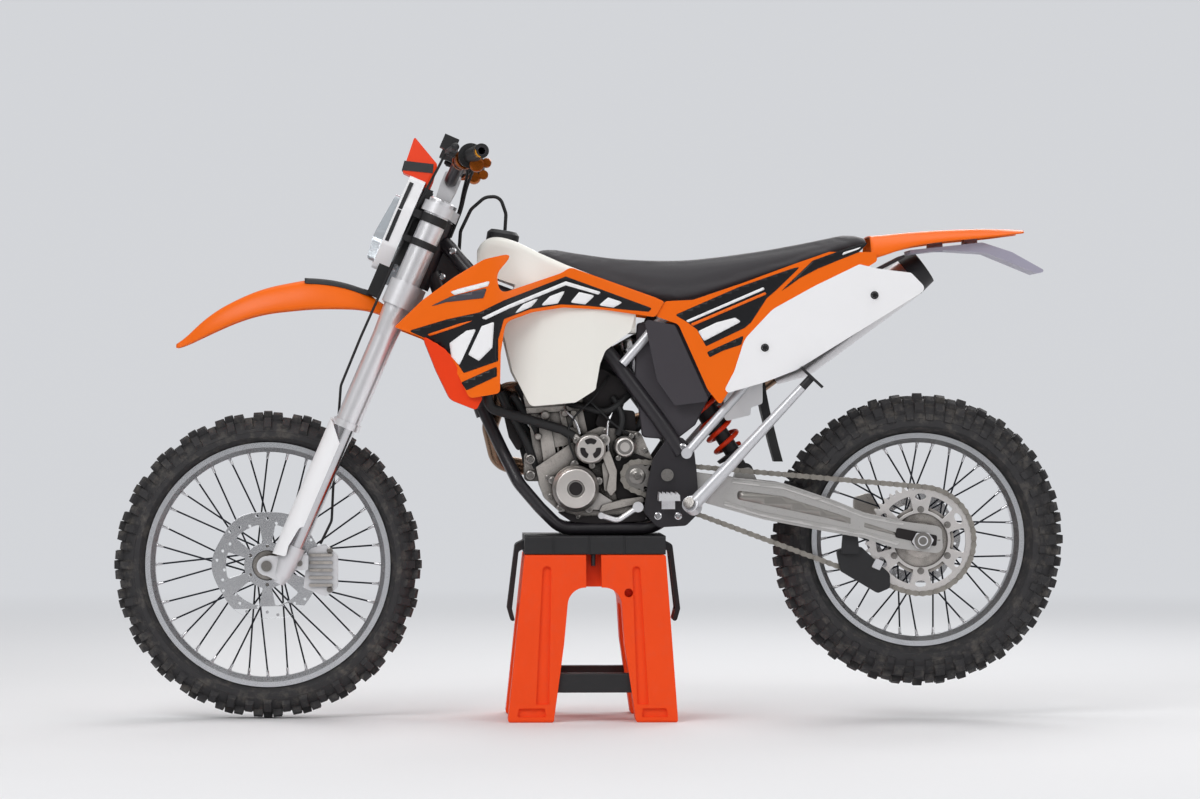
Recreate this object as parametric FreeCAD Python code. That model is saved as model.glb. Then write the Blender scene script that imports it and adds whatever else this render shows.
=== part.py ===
import FreeCAD, Part
import math
import os

# Enduro dirt bike on a moulded lift stand, in millimetres.
# X runs from the front wheel to the rear wheel, Y from the left side to the right side, Z up.
# The origin is on the floor, midway between the tips of the two tyres.

V = FreeCAD.Vector
ALONG_Y = V(0, 1, 0)

# Driving dimensions of the whole machine
WHEELBASE = 1483.0
FRONT_TYRE_RADIUS = 350.0
REAR_TYRE_RADIUS = 335.0
REAR_AXLE_HEIGHT = 406.0
RAKE = 23.3
FORK_OFFSET = 22.0
LUG_OFFSET = 38.0
STAND_HEIGHT = 418.0
CRADLE_FOOT = 418.0

# Clearances
SEAT_GAP = 0.3
RUNNING_GAP = 0.3
SHAFT_FIT = 0.08
CLAMP_FIT = 0.05

# Places that follow from the driving dimensions
FRONT_AXLE = V((FRONT_TYRE_RADIUS - REAR_TYRE_RADIUS - WHEELBASE) / 2, 0, FRONT_TYRE_RADIUS)
REAR_AXLE = V(FRONT_AXLE.x + WHEELBASE, 0, REAR_AXLE_HEIGHT)
STEER_AXIS = V(math.sin(math.radians(RAKE)), 0, math.cos(math.radians(RAKE)))
STEER_BACK = V(math.cos(math.radians(RAKE)), 0, -math.sin(math.radians(RAKE)))
STEER_FOOT = FRONT_AXLE + STEER_BACK * (FORK_OFFSET + LUG_OFFSET)

# Directions of a flat outline: across, up, and the way it is extruded
VIEWS = {
    "side": (V(1, 0, 0), V(0, 0, 1), V(0, 1, 0)),
    "plan": (V(1, 0, 0), V(0, 1, 0), V(0, 0, 1)),
    "front": (V(0, 1, 0), V(0, 0, 1), V(1, 0, 0)),
}


# Shape helpers

def runs_and_arcs(corners, closed=False):
    """Edges of straight runs joined by tangent arcs, from (place, radius) corners."""
    count = len(corners)
    cuts = []
    for index, (place, radius) in enumerate(corners):
        if radius <= 0 or (not closed and index in (0, count - 1)):
            cuts.append((place, None, place))
            continue
        before = corners[index - 1][0] - place
        after = corners[(index + 1) % count][0] - place
        turn = math.pi - before.getAngle(after)
        if turn < 0.001:
            cuts.append((place, None, place))
            continue
        reach = min(radius * math.tan(turn / 2), 0.49 * before.Length, 0.49 * after.Length)
        bend = reach / math.tan(turn / 2)
        before.normalize()
        after.normalize()
        inward = before + after
        inward.normalize()
        middle = place + inward * (bend / math.cos(turn / 2) - bend)
        cuts.append((place + before * reach, middle, place + after * reach))
    edges = []
    for index, (start, middle, end) in enumerate(cuts):
        if middle is not None:
            edges.append(Part.Arc(start, middle, end).toShape())
        if closed or index < count - 1:
            following = cuts[(index + 1) % count][0]
            if (following - end).Length > 0.0001:
                edges.append(Part.makeLine(end, following))
    return edges


def flat_wire(view, points, depth, rounding=0.0):
    """A closed outline of (across, up) or (across, up, corner radius) points."""
    across, up, along = VIEWS[view]
    corners = []
    for point in points:
        radius = point[2] if len(point) > 2 else rounding
        corners.append((across * point[0] + up * point[1] + along * depth, radius))
    return Part.Wire(runs_and_arcs(corners, True))


def prism(view, points, low, high, rounding=0.0):
    """An outline in one view, extruded from low to high."""
    face = Part.Face(flat_wire(view, points, low, rounding))
    return face.extrude(VIEWS[view][2] * (high - low))


def turned(points, centre, axis=ALONG_Y, rounding=0.0):
    """A turned solid: points are (distance from the axis, place along it, corner radius)."""
    side = V(0, 0, 1) if abs(axis.z) < 0.5 else V(1, 0, 0)
    side = side - axis * side.dot(axis)
    side.normalize()
    corners = []
    for point in points:
        radius = point[2] if len(point) > 2 else rounding
        corners.append((centre + side * point[0] + axis * point[1], radius))
    face = Part.Face(Part.Wire(runs_and_arcs(corners, True)))
    return face.revolve(centre, axis, 360)


def rod(start, end, radius):
    """A round bar between two points."""
    return Part.makeCylinder(radius, (end - start).Length, start, end - start)


def ring(centre, axis, low, high, outer, inner):
    """A plain ring or bush along an axis."""
    start = centre + axis * low
    end = centre + axis * high
    return rod(start, end, outer).cut(rod(start - axis, end + axis, inner))


def tube(points, radius, bend):
    """A round tube of straight runs and tangent bends."""
    spine = Part.Wire(runs_and_arcs([(place, bend) for place in points]))
    section = Part.Wire(Part.makeCircle(radius, points[0], points[1] - points[0]).Edges)
    return spine.makePipeShell([section], True, False)


def cross_section(x, low, half_low, high, half_high, round_low, round_high):
    """A rounded trapezium across the machine."""
    points = [(-half_low, low, round_low), (half_low, low, round_low),
              (half_high, high, round_high), (-half_high, high, round_high)]
    return flat_wire("front", points, x)


def lofted(sections):
    """A smooth solid through closed sections."""
    return Part.makeLoft(sections, True, False)


def leaning_slab(low, low_plan, high, high_plan, thickness, bend):
    """A thin wall that follows one plan curve at its foot and another at its top."""
    wires = []
    for height, plan in ((low, low_plan), (high, high_plan)):
        last = len(plan) - 1
        outer = [(x, y, 0 if i in (0, last) else bend) for i, (x, y) in enumerate(plan)]
        inner = [(x, y + thickness, radius) for x, y, radius in reversed(outer)]
        wires.append(flat_wire("plan", outer + inner, height))
    return Part.makeLoft(wires, True, True)


def mirrored(shape):
    """The same piece on the other side of the machine."""
    return shape.mirror(V(0, 0, 0), ALONG_Y)


def mirrored_point(place):
    """The same place on the other side of the machine."""
    return V(place.x, -place.y, place.z)


def both_sides(shape):
    """A left piece and its right twin."""
    return Part.makeCompound([shape, mirrored(shape)])


def fused(*shapes):
    """One solid from pieces that meet."""
    others = [solid for shape in shapes[1:] for solid in shape.Solids]
    return shapes[0].multiFuse(others).removeSplitter()


def lowest_solid(shape):
    """The lowest body of a piece that a cut has divided."""
    return min(shape.Solids, key=lambda solid: solid.BoundBox.ZMin)


def lowest_y_solid(shape):
    """The leftmost body of a piece that a cut has divided."""
    return min(shape.Solids, key=lambda solid: solid.BoundBox.YMin)


def moved(shape, step):
    """The same piece, moved by one step."""
    copy = shape.copy()
    copy.translate(step)
    return copy


def steer(shape):
    """Moves a piece from the upright fork frame to its raked place.

    In the upright frame Z runs up the steering axis, X points back and the foot is at the origin.
    """
    placed = shape.copy()
    placed.rotate(V(0, 0, 0), ALONG_Y, RAKE)
    placed.translate(STEER_FOOT)
    return placed


def steer_point(back, side, along):
    """A point of the upright fork frame in the machine's frame."""
    return STEER_FOOT + STEER_BACK * back + ALONG_Y * side + STEER_AXIS * along


# Wheels

FRONT_RIM_RADIUS = 278.5
REAR_RIM_RADIUS = 243.5
FRONT_RIM_HALF = 20.0
REAR_RIM_HALF = 27.0
FRONT_TYRE_HALF = 45.0
REAR_TYRE_HALF = 69.0
BEAD_DEPTH = 8.5
RIM_WALL = 3.0
RIM_DEPTH = 22.0
AXLE_RADIUS = 12.0
FRONT_PITCHES = 48
REAR_PITCHES = 40
LUG_HEIGHT = 13.0
LUG_LENGTH = 24.0
LUG_ROOT = 2.0
SPOKE_COUNT = 36
SPOKE_RADIUS = 2.0
SPOKE_SWEEP = 55.0
SPOKE_SIDE_GAP = 1.2
SPOKE_END_GAP = 0.8
FRONT_FLANGE_RADIUS = 31.0
REAR_FLANGE_RADIUS = 46.0
FRONT_FLANGE_Y = 27.5
REAR_FLANGE_Y = 34.0
FLANGE_HALF = 2.5


def polar(radius, angle):
    """A place in the side view at a radius and an angle in degrees."""
    return radius * math.cos(math.radians(angle)), radius * math.sin(math.radians(angle))


def faceted_ring(rows):
    """A closed ring of flat faces through rows of points, with a skew face split in two."""
    faces = []
    count = len(rows[0])
    for index, row in enumerate(rows):
        following = rows[(index + 1) % len(rows)]
        for point in range(count):
            other = (point + 1) % count
            start, second, third, fourth = row[point], row[other], following[other], following[point]
            skew = (second - start).cross(fourth - start).dot(third - start)
            if abs(skew) < 0.000001:
                faces.append(Part.Face(Part.makePolygon([start, second, third, fourth, start])))
            else:
                faces.append(Part.Face(Part.makePolygon([start, second, third, start])))
                faces.append(Part.Face(Part.makePolygon([start, third, fourth, start])))
    solid = Part.makeSolid(Part.makeShell(faces))
    if solid.Volume < 0:
        solid.reverse()
    return solid


def faceted_block(low, high):
    """A solid of flat faces between two loops of the same number of points."""
    loops = [low, high]
    count = len(low)
    for index in range(count):
        after = (index + 1) % count
        loops.append([low[index], low[after], high[after], high[index]])
    faces = [Part.Face(Part.makePolygon(loop + loop[:1])) for loop in loops]
    solid = Part.makeSolid(Part.makeShell(faces))
    if solid.Volume < 0:
        solid.reverse()
    return solid


def lug(axle, angle, foot, top, length, height):
    """One tapered lug on the carcass facet between two (radius, side) points of the section."""
    out = V(math.cos(angle), 0, math.sin(angle))
    forward = V(-math.sin(angle), 0, math.cos(angle)) * (length / 2)
    low = axle + out * foot[0] + ALONG_Y * foot[1]
    high = axle + out * top[0] + ALONG_Y * top[1]
    across = (high - low) * 0.5
    middle = low + across
    upward = forward.cross(across).normalize()
    if upward.dot(out) < 0:
        upward = upward * -1
    levels = []
    for rise, share in ((-LUG_ROOT, 0.86), (height, 0.76)):
        centre = middle + upward * rise
        levels.append([centre + (forward * a + across * b) * share for a, b in ((-1, -1), (1, -1), (1, 1), (-1, 1))])
    return faceted_block(*levels)


def tyre(axle, radius, half, rim_radius, rim_half, pitches):
    """A knobbed tyre: a carcass of one facet a pitch, with crown lugs and pairs of shoulder lugs in turn."""
    bead = rim_half - SEAT_GAP
    to_corner = 1 / math.cos(math.pi / pitches)
    depth = radius - rim_radius
    crown = math.sqrt(radius ** 2 - (LUG_LENGTH / 2) ** 2) - LUG_HEIGHT
    side = [((rim_radius - BEAD_DEPTH + SEAT_GAP) * to_corner, bead), (rim_radius + 2.5, bead),
            (rim_radius + 0.42 * depth, half), ((crown - 0.16 * depth) * to_corner, half * 0.8),
            (crown * to_corner, half * 0.36)]
    section = side + [(r, -y) for r, y in reversed(side)]
    rows = []
    for index in range(pitches):
        angle = 2 * math.pi * (index + 0.5) / pitches
        rows.append([axle + V(math.cos(angle) * r, y, math.sin(angle) * r) for r, y in section])
    lugs = []
    edge = crown, half * 0.36
    shoulder = crown - 0.16 * depth, half * 0.8
    for index in range(pitches):
        angle = 2 * math.pi * index / pitches
        if index % 2 == 0:
            lugs.append(lug(axle, angle, (edge[0], -edge[1]), edge, LUG_LENGTH, LUG_HEIGHT))
            continue
        for turn in (-1, 1):
            lugs.append(lug(axle, angle, (shoulder[0], turn * shoulder[1]), (edge[0], turn * edge[1]), LUG_LENGTH,
                            LUG_HEIGHT - 2))
    return fused(faceted_ring(rows), *lugs)


def rim(axle, radius, half):
    """A drop-centre rim with two bead flanges."""
    well = half * 0.5
    outside = half + RIM_WALL
    floor = radius - RIM_DEPTH
    right = [(radius, outside), (radius, half), (radius - BEAD_DEPTH, half),
             (radius - BEAD_DEPTH - 1, well + RIM_WALL), (floor + RIM_WALL + 1, well)]
    left = [(r, -y) for r, y in reversed(right)]
    under = [(radius - BEAD_DEPTH - RIM_WALL, -outside), (floor, -well - RIM_WALL),
             (floor, well + RIM_WALL), (radius - BEAD_DEPTH - RIM_WALL, outside)]
    return turned(right + left + under, axle)


def spokes(axle, rim_radius, flange_radius, flange_y):
    """Crossed wire spokes from the hub flanges to the rim."""
    reach = rim_radius - RIM_DEPTH - SPOKE_END_GAP
    wires = []
    for index in range(SPOKE_COUNT):
        side = -1 if index % 2 else 1
        outer = (index // 2) % 2 == 0
        at_rim = math.radians(index * 360.0 / SPOKE_COUNT)
        at_hub = at_rim + math.radians(SPOKE_SWEEP if outer else -SPOKE_SWEEP)
        hub_y = flange_y + (FLANGE_HALF + SPOKE_RADIUS + SPOKE_SIDE_GAP) * (1 if outer else -1)
        rim_y = 9.0 if outer else 4.0
        start = axle + V(math.cos(at_hub) * flange_radius, side * hub_y, math.sin(at_hub) * flange_radius)
        end = axle + V(math.cos(at_rim) * reach, side * rim_y, math.sin(at_rim) * reach)
        wires.append(rod(start, end, SPOKE_RADIUS))
    return Part.makeCompound(wires)


def hub(axle, half, flange_radius, flange_y, barrel):
    """A turned hub with a flange for the spokes on each side."""
    bore = AXLE_RADIUS + SHAFT_FIT
    edge = flange_radius + 3
    right = [(bore, half), (barrel * 0.8, half), (barrel, flange_y + FLANGE_HALF),
             (edge, flange_y + FLANGE_HALF), (edge, flange_y - FLANGE_HALF),
             (flange_radius - 5, flange_y - FLANGE_HALF), (barrel * 0.9, flange_y - FLANGE_HALF - 9)]
    left = [(r, -y) for r, y in reversed(right)]
    return turned(right + left, axle)


FRONT_HUB_HALF = 58.0
REAR_HUB_HALF = 72.0
FRONT_BARREL = 22.0
REAR_BARREL = 32.0
DISC_THICKNESS = 3.0
FRONT_DISC_Y = -64.0
REAR_DISC_Y = 84.0
FRONT_DISC_RADIUS = 130.0
REAR_DISC_RADIUS = 110.0
DISC_BAND = 28.0
DISC_ARMS = 6
DISC_WAVES = 6


def window(inner, outer, middle, half):
    """The side outline of a rounded window between two radii, round an angle in degrees."""
    points = [(*polar(inner, middle - half), 6), (*polar(outer, middle - half), 6), (*polar(outer + 4, middle), outer),
              (*polar(outer, middle + half), 6), (*polar(inner, middle + half), 6), (*polar(inner + 2, middle), inner)]
    return points


def placed_prism(middle, points, half):
    """A side outline round a middle point, extruded both ways."""
    shape = prism("side", points, -half, half)
    shape.translate(middle)
    return shape


def brake_disc(axle, y, radius, carrier):
    """A waved brake disc with windows between its band and its carrier."""
    middle = axle + ALONG_Y * y
    half = DISC_THICKNESS / 2
    outline = []
    for index in range(DISC_WAVES):
        turn = 360.0 / DISC_WAVES
        outline.append((*polar(radius + 2, index * turn), 50))
        outline.append((*polar(radius - 9, (index + 0.5) * turn), 30))
    disc = placed_prism(middle, outline, half).cut(rod(middle - ALONG_Y * 5, middle + ALONG_Y * 5, carrier))
    for index in range(DISC_ARMS):
        turn = index * 360.0 / DISC_ARMS
        disc = disc.cut(placed_prism(middle, window(carrier + 17, radius - DISC_BAND - 2, turn, 19), half + 1))
    return disc


def disc_carrier(axle, y, side, hub_half, carrier):
    """The part of the hub that a disc is bolted to."""
    edge = y - side * (DISC_THICKNESS / 2)
    low, high = sorted((side * (hub_half - 1), edge))
    bore = AXLE_RADIUS + SHAFT_FIT
    return ring(axle, ALONG_Y, low, high, carrier + 12, bore)


FRONT_CARRIER = 34.0
REAR_CARRIER = 38.0


def front_hub():
    """The front hub with its disc carrier on the left."""
    body = hub(FRONT_AXLE, FRONT_HUB_HALF, FRONT_FLANGE_RADIUS, FRONT_FLANGE_Y, FRONT_BARREL)
    return fused(body, disc_carrier(FRONT_AXLE, FRONT_DISC_Y, -1, FRONT_HUB_HALF, FRONT_CARRIER))


# Chain drive

CHAIN_PITCH = 15.875
CHAIN_Y = -86.0
CHAIN_HALF = 8.0
CHAIN_HEIGHT = 7.0
CHAIN_WAIST_HALF = 6.0
CHAIN_WAIST_HEIGHT = 4.6
FRONT_TEETH = 13
REAR_TEETH = 48
DRIVE_CENTRE = V(104, 0, 552)
SPROCKET_HALF = 3.0
REAR_SPROCKET_INNER = 76.0
SPROCKET_WINDOWS = 6


def pitch_radius(teeth):
    """The radius on which a sprocket carries its chain."""
    return CHAIN_PITCH / (2 * math.sin(math.pi / teeth))


def belt_face(grow, y):
    """The area inside a belt round both sprockets, with the pitch line moved out by grow."""
    small = pitch_radius(FRONT_TEETH) + grow
    large = pitch_radius(REAR_TEETH) + grow
    span = V(REAR_AXLE.x - DRIVE_CENTRE.x, 0, REAR_AXLE.z - DRIVE_CENTRE.z)
    lean = math.asin((large - small) / span.Length)
    forward = V(span.x, 0, span.z)
    forward.normalize()
    upward = V(-forward.z, 0, forward.x)
    over = forward * -math.sin(lean) + upward * math.cos(lean)
    under = forward * -math.sin(lean) - upward * math.cos(lean)
    front = V(DRIVE_CENTRE.x, y, DRIVE_CENTRE.z)
    rear = V(REAR_AXLE.x, y, REAR_AXLE.z)
    edges = [
        Part.makeLine(front + over * small, rear + over * large),
        Part.Arc(rear + over * large, rear + forward * large, rear + under * large).toShape(),
        Part.makeLine(rear + under * large, front + under * small),
        Part.Arc(front + under * small, front - forward * small, front + over * small).toShape(),
    ]
    return Part.Face(Part.Wire(edges))


def belt_place(distance):
    """The place on the chain's pitch line a way along it, the direction out of the loop, and the whole length."""
    small = pitch_radius(FRONT_TEETH)
    large = pitch_radius(REAR_TEETH)
    span = math.hypot(REAR_AXLE.x - DRIVE_CENTRE.x, REAR_AXLE.z - DRIVE_CENTRE.z)
    heading = math.atan2(REAR_AXLE.z - DRIVE_CENTRE.z, REAR_AXLE.x - DRIVE_CENTRE.x)
    lean = math.asin((large - small) / span)
    run = span * math.cos(lean)
    over = heading + math.pi / 2 + lean
    under = heading - math.pi / 2 - lean
    round_rear = large * (math.pi + 2 * lean)
    length = 2 * run + round_rear + small * (math.pi - 2 * lean)
    front = V(DRIVE_CENTRE.x, CHAIN_Y, DRIVE_CENTRE.z)
    rear = V(REAR_AXLE.x, CHAIN_Y, REAR_AXLE.z)
    if distance < run:
        out = V(math.cos(over), 0, math.sin(over))
        return front + out * small + V(math.sin(over), 0, -math.cos(over)) * distance, out, length
    distance -= run
    if distance < round_rear:
        angle = over - distance / large
        out = V(math.cos(angle), 0, math.sin(angle))
        return rear + out * large, out, length
    distance -= round_rear
    if distance < run:
        out = V(math.cos(under), 0, math.sin(under))
        return rear + out * large + V(math.sin(under), 0, -math.cos(under)) * distance, out, length
    angle = under - (distance - run) / small
    out = V(math.cos(angle), 0, math.sin(angle))
    return front + out * small, out, length


def chain():
    """The drive chain as one closed loop of links, wide and tall at each pin and waisted between pins."""
    length = belt_place(0)[2]
    links = 2 * round(length / CHAIN_PITCH / 2)
    rows = []
    for index in range(2 * links):
        place, out, total = belt_place(index * length / (2 * links))
        at_pin = index % 2 == 0
        half = CHAIN_HALF if at_pin else CHAIN_WAIST_HALF
        tall = CHAIN_HEIGHT if at_pin else CHAIN_WAIST_HEIGHT
        rows.append([place + out * (a * tall) + ALONG_Y * (b * half) for a, b in ((-1, -1), (1, -1), (1, 1), (-1, 1))])
    return faceted_ring(rows)


def front_sprocket():
    """The driving sprocket on the gearbox shaft."""
    radius = pitch_radius(FRONT_TEETH) - CHAIN_HEIGHT - SEAT_GAP
    centre = DRIVE_CENTRE + ALONG_Y * CHAIN_Y
    wheel = ring(centre, ALONG_Y, -SPROCKET_HALF, SPROCKET_HALF, radius, 11)
    shaft = rod(centre + ALONG_Y * -(SPROCKET_HALF + 6), DRIVE_CENTRE + ALONG_Y * (CASE_LEFT - SEAT_GAP), 11)
    return fused(wheel, shaft)


def rear_sprocket():
    """The driven sprocket with six windows and six slots, on the left end of the rear hub."""
    radius = pitch_radius(REAR_TEETH) - CHAIN_HEIGHT - RUNNING_GAP
    centre = REAR_AXLE + ALONG_Y * CHAIN_Y
    wheel = ring(centre, ALONG_Y, -SPROCKET_HALF, SPROCKET_HALF, radius, REAR_SPROCKET_INNER - 14)
    for index in range(SPROCKET_WINDOWS):
        turn = index * 360.0 / SPROCKET_WINDOWS
        wheel = wheel.cut(placed_prism(centre, window(REAR_SPROCKET_INNER + 2, radius - 17, turn, 15), SPROCKET_HALF + 1))
        x, z = polar(radius - 14, turn + 180.0 / SPROCKET_WINDOWS)
        slot = rod(centre + V(x, -SPROCKET_HALF - 1, z), centre + V(x, SPROCKET_HALF + 1, z), 8)
        wheel = wheel.cut(slot)
    return wheel


def rear_hub():
    """The rear hub with the sprocket carrier on the left and the disc carrier on the right."""
    body = hub(REAR_AXLE, REAR_HUB_HALF, REAR_FLANGE_RADIUS, REAR_FLANGE_Y, REAR_BARREL)
    right = disc_carrier(REAR_AXLE, REAR_DISC_Y, 1, REAR_HUB_HALF, REAR_CARRIER)
    start = CHAIN_Y + SPROCKET_HALF
    plate = turned([(AXLE_RADIUS + SHAFT_FIT, -REAR_HUB_HALF + 2), (AXLE_RADIUS + SHAFT_FIT, start - 6),
                    (REAR_BARREL - 6, start - 6), (REAR_BARREL + 8, start),
                    (REAR_SPROCKET_INNER, start), (REAR_SPROCKET_INNER, start + 5),
                    (REAR_BARREL, -REAR_HUB_HALF + 8)], REAR_AXLE)
    return fused(body, right, plate)


# Fork and steering, in the upright fork frame

FORK_SPREAD = 100.0
OUTER_TUBE_RADIUS = 29.5
OUTER_TUBE_FOOT_RADIUS = 27.0
INNER_TUBE_RADIUS = 24.0
SEAL_RADIUS = 31.0
OUTER_TUBE_FOOT = 372.0
SEAL_FOOT = 356.0
OUTER_TUBE_STEP = 640.0
LOWER_CLAMP_FOOT = 655.0
LOWER_CLAMP_HEIGHT = 57.0
LOWER_CLAMP_TOP = LOWER_CLAMP_FOOT + LOWER_CLAMP_HEIGHT
LOWER_CLAMP_REAR = 24.0
LOWER_CLAMP_WAIST = 18.0
UPPER_CLAMP_FOOT = 880.0
UPPER_CLAMP_HEIGHT = 24.0
UPPER_CLAMP_TOP = UPPER_CLAMP_FOOT + UPPER_CLAMP_HEIGHT
OUTER_TUBE_TOP = UPPER_CLAMP_TOP + 8.0
CLAMP_WALL = 8.0
STEM_RADIUS = 15.0
HEAD_RADIUS = 28.0
HEAD_GAP = 3.0


def fork_outer_tubes():
    """The two large upper tubes, each a little slimmer below the lower clamp."""
    profile = [(0, OUTER_TUBE_FOOT), (OUTER_TUBE_FOOT_RADIUS, OUTER_TUBE_FOOT),
               (OUTER_TUBE_FOOT_RADIUS, OUTER_TUBE_STEP - 60), (OUTER_TUBE_RADIUS, OUTER_TUBE_STEP),
               (OUTER_TUBE_RADIUS, OUTER_TUBE_TOP), (OUTER_TUBE_RADIUS - 3, OUTER_TUBE_TOP + 3),
               (0, OUTER_TUBE_TOP + 3)]
    leg = turned(profile, V(-FORK_OFFSET, -FORK_SPREAD, 0), V(0, 0, 1))
    return Part.makeCompound([steer(both_sides(leg)), seal_rings()])


def seal_rings():
    """The black dust seals at the feet of the outer tubes."""
    low = SEAL_FOOT
    high = OUTER_TUBE_FOOT - SEAT_GAP
    seal = ring(V(-FORK_OFFSET, -FORK_SPREAD, 0), V(0, 0, 1), low, high, SEAL_RADIUS, INNER_TUBE_RADIUS + CLAMP_FIT)
    return steer(both_sides(seal))


LUG_TOP = 66.0
LUG_FOOT = -26.0
LUG_HALF = 17.0
AXLE_CLAMP_RADIUS = 22.0


def fork_inner_tubes():
    """The two bright sliding tubes, up to the outer tubes."""
    foot = V(-FORK_OFFSET, -FORK_SPREAD, LUG_TOP + SEAT_GAP)
    top = V(-FORK_OFFSET, -FORK_SPREAD, OUTER_TUBE_FOOT - SEAT_GAP)
    return steer(both_sides(rod(foot, top, INNER_TUBE_RADIUS)))


def fork_socket(grow=0.0):
    """The round part of the left lug that holds the inner tube, made thicker by grow."""
    middle = V(-FORK_OFFSET, -FORK_SPREAD, 0)
    wide = INNER_TUBE_RADIUS + 5 + grow
    return turned([(0, LUG_FOOT - grow), (14 + grow, LUG_FOOT - grow), (22 + grow, LUG_FOOT + 20),
                   (wide, LUG_TOP - 22), (wide, LUG_TOP + grow), (0, LUG_TOP + grow)], middle, V(0, 0, 1))


def fork_lugs():
    """The cast feet of the fork, which hold the axle in front of the tubes."""
    socket = fork_socket()
    axle = V(-FORK_OFFSET - LUG_OFFSET, 0, 0)
    arm = prism("side", [(axle.x - 20, -18, 10), (-FORK_OFFSET, -22, 8), (-FORK_OFFSET, 40, 8),
                         (axle.x - 8, 22, 12)], -FORK_SPREAD - LUG_HALF, -FORK_SPREAD + LUG_HALF)
    clamp = ring(axle, ALONG_Y, -FORK_SPREAD - LUG_HALF, -FORK_SPREAD + LUG_HALF, AXLE_CLAMP_RADIUS,
                 AXLE_RADIUS + CLAMP_FIT)
    bore = rod(axle + ALONG_Y * -200, axle, AXLE_RADIUS + CLAMP_FIT)
    return steer(both_sides(fused(socket, arm, clamp).cut(bore)))


def front_axle():
    """The front axle, through both lugs."""
    end = FORK_SPREAD + LUG_HALF + 4
    bar = rod(FRONT_AXLE - ALONG_Y * end, FRONT_AXLE + ALONG_Y * end, AXLE_RADIUS)
    head = rod(FRONT_AXLE + ALONG_Y * (FORK_SPREAD + LUG_HALF), FRONT_AXLE + ALONG_Y * (end + 4), 17)
    spacer_right = ring(FRONT_AXLE, ALONG_Y, FRONT_HUB_HALF + 1, FORK_SPREAD - LUG_HALF, 17, AXLE_RADIUS - 1)
    spacer_left = ring(FRONT_AXLE, ALONG_Y, -FORK_SPREAD + LUG_HALF, FRONT_DISC_Y - 4, 17, AXLE_RADIUS - 1)
    return fused(bar, head, spacer_right, spacer_left)


def clamp_plate(foot, top, rear, waist):
    """A fork clamp: two rings round the tubes and a waisted bridge."""
    outside = OUTER_TUBE_RADIUS + CLAMP_WALL
    centre = V(-FORK_OFFSET, -FORK_SPREAD, 0)
    ring_left = rod(centre + V(0, 0, foot), centre + V(0, 0, top), outside)
    bridge = prism("plan", [(-FORK_OFFSET - 26, -FORK_SPREAD, 6), (-FORK_OFFSET - waist, 0, 60),
                            (-FORK_OFFSET - 26, FORK_SPREAD, 6), (FORK_OFFSET - 14, FORK_SPREAD, 6),
                            (rear, 26, 12), (rear, -26, 12), (FORK_OFFSET - 14, -FORK_SPREAD, 6)], foot, top)
    plate = fused(bridge, ring_left, mirrored(ring_left))
    for side in (-1, 1):
        place = V(-FORK_OFFSET, side * FORK_SPREAD, 0)
        plate = plate.cut(rod(place + V(0, 0, foot - 1), place + V(0, 0, top + 1), OUTER_TUBE_RADIUS + CLAMP_FIT))
    return plate


def lower_clamp():
    """The lower fork clamp with the steering stem."""
    plate = clamp_plate(LOWER_CLAMP_FOOT, LOWER_CLAMP_TOP, LOWER_CLAMP_REAR, LOWER_CLAMP_WAIST)
    stem = rod(V(0, 0, LOWER_CLAMP_FOOT), V(0, 0, UPPER_CLAMP_FOOT - SEAT_GAP), STEM_RADIUS)
    return steer(fused(plate, stem))


def triple_clamps():
    """The two fork clamps and the risers of the bar."""
    return Part.makeCompound([lower_clamp(), upper_clamp(), bar_mounts()])


def upper_clamp():
    """The upper fork clamp with the stem nut."""
    plate = clamp_plate(UPPER_CLAMP_FOOT, UPPER_CLAMP_TOP, 26, 22)
    nut = rod(V(0, 0, UPPER_CLAMP_TOP), V(0, 0, UPPER_CLAMP_TOP + 12), 14)
    return steer(fused(plate, nut))


GUARD_GAP = 4.0
GUARD_WALL = 3.0
GUARD_OUTLINE = [(-626, 712, 8), (-596, 708, 8), (-566, 618, 10), (-550, 590, 10), (-572, 545, 14),
                 (-608, 521, 14), (-634, 478, 10), (-600, 483, 10), (-608, 455, 10), (-660, 436, 10),
                 (-684, 396, 10), (-690, 372, 6), (-728, 380, 10), (-722, 420, 20), (-664, 560, 30)]


def fork_guards():
    """The white plastic guards in front of and outside the bright tubes, each on a boss at its lug."""
    centre = V(-FORK_OFFSET, -FORK_SPREAD, 0)
    inside = SEAL_RADIUS + GUARD_GAP
    shell = ring(centre, V(0, 0, 1), 20, SEAL_FOOT + 30, inside + GUARD_WALL, inside)
    front_half = Part.makeBox(90, 2 * inside + 20, 700, V(-FORK_OFFSET - 86, -FORK_SPREAD - inside - 10, 0))
    shell = steer(shell.common(front_half))
    outline = prism("side", GUARD_OUTLINE, -FORK_SPREAD - inside - 10, -FORK_SPREAD + inside - 14)
    height = V(0, 0, LUG_TOP - 10)
    boss = rod(centre + height - V(inside + 1, 0, 0), centre + height, 8).cut(fork_socket(SEAT_GAP))
    return both_sides(fused(shell.common(outline), steer(boss)))


# Handlebar and its fittings, in the upright fork frame

BAR_RADIUS = 14.3
BAR_GRIP_RADIUS = 11.1
BAR_HEIGHT = UPPER_CLAMP_TOP + 61.0
BAR_BACK = -22.8
BAR_END = V(17.7, -405, 1038)
BAR_BEND = 70.0
GRIP_LENGTH = 125.0
GRIP_RADIUS = 16.5
GRIP_FLANGE_RADIUS = 28.0
RISER_SIDE = 50.0
RISER_HALF = 14.0


def bar_points():
    """The line of the left half of the handlebar, from its middle out."""
    inner = V(BAR_BACK + 2, -165, BAR_HEIGHT + 46)
    return [V(BAR_BACK, 0, BAR_HEIGHT), V(BAR_BACK, -90, BAR_HEIGHT), inner, BAR_END]


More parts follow.
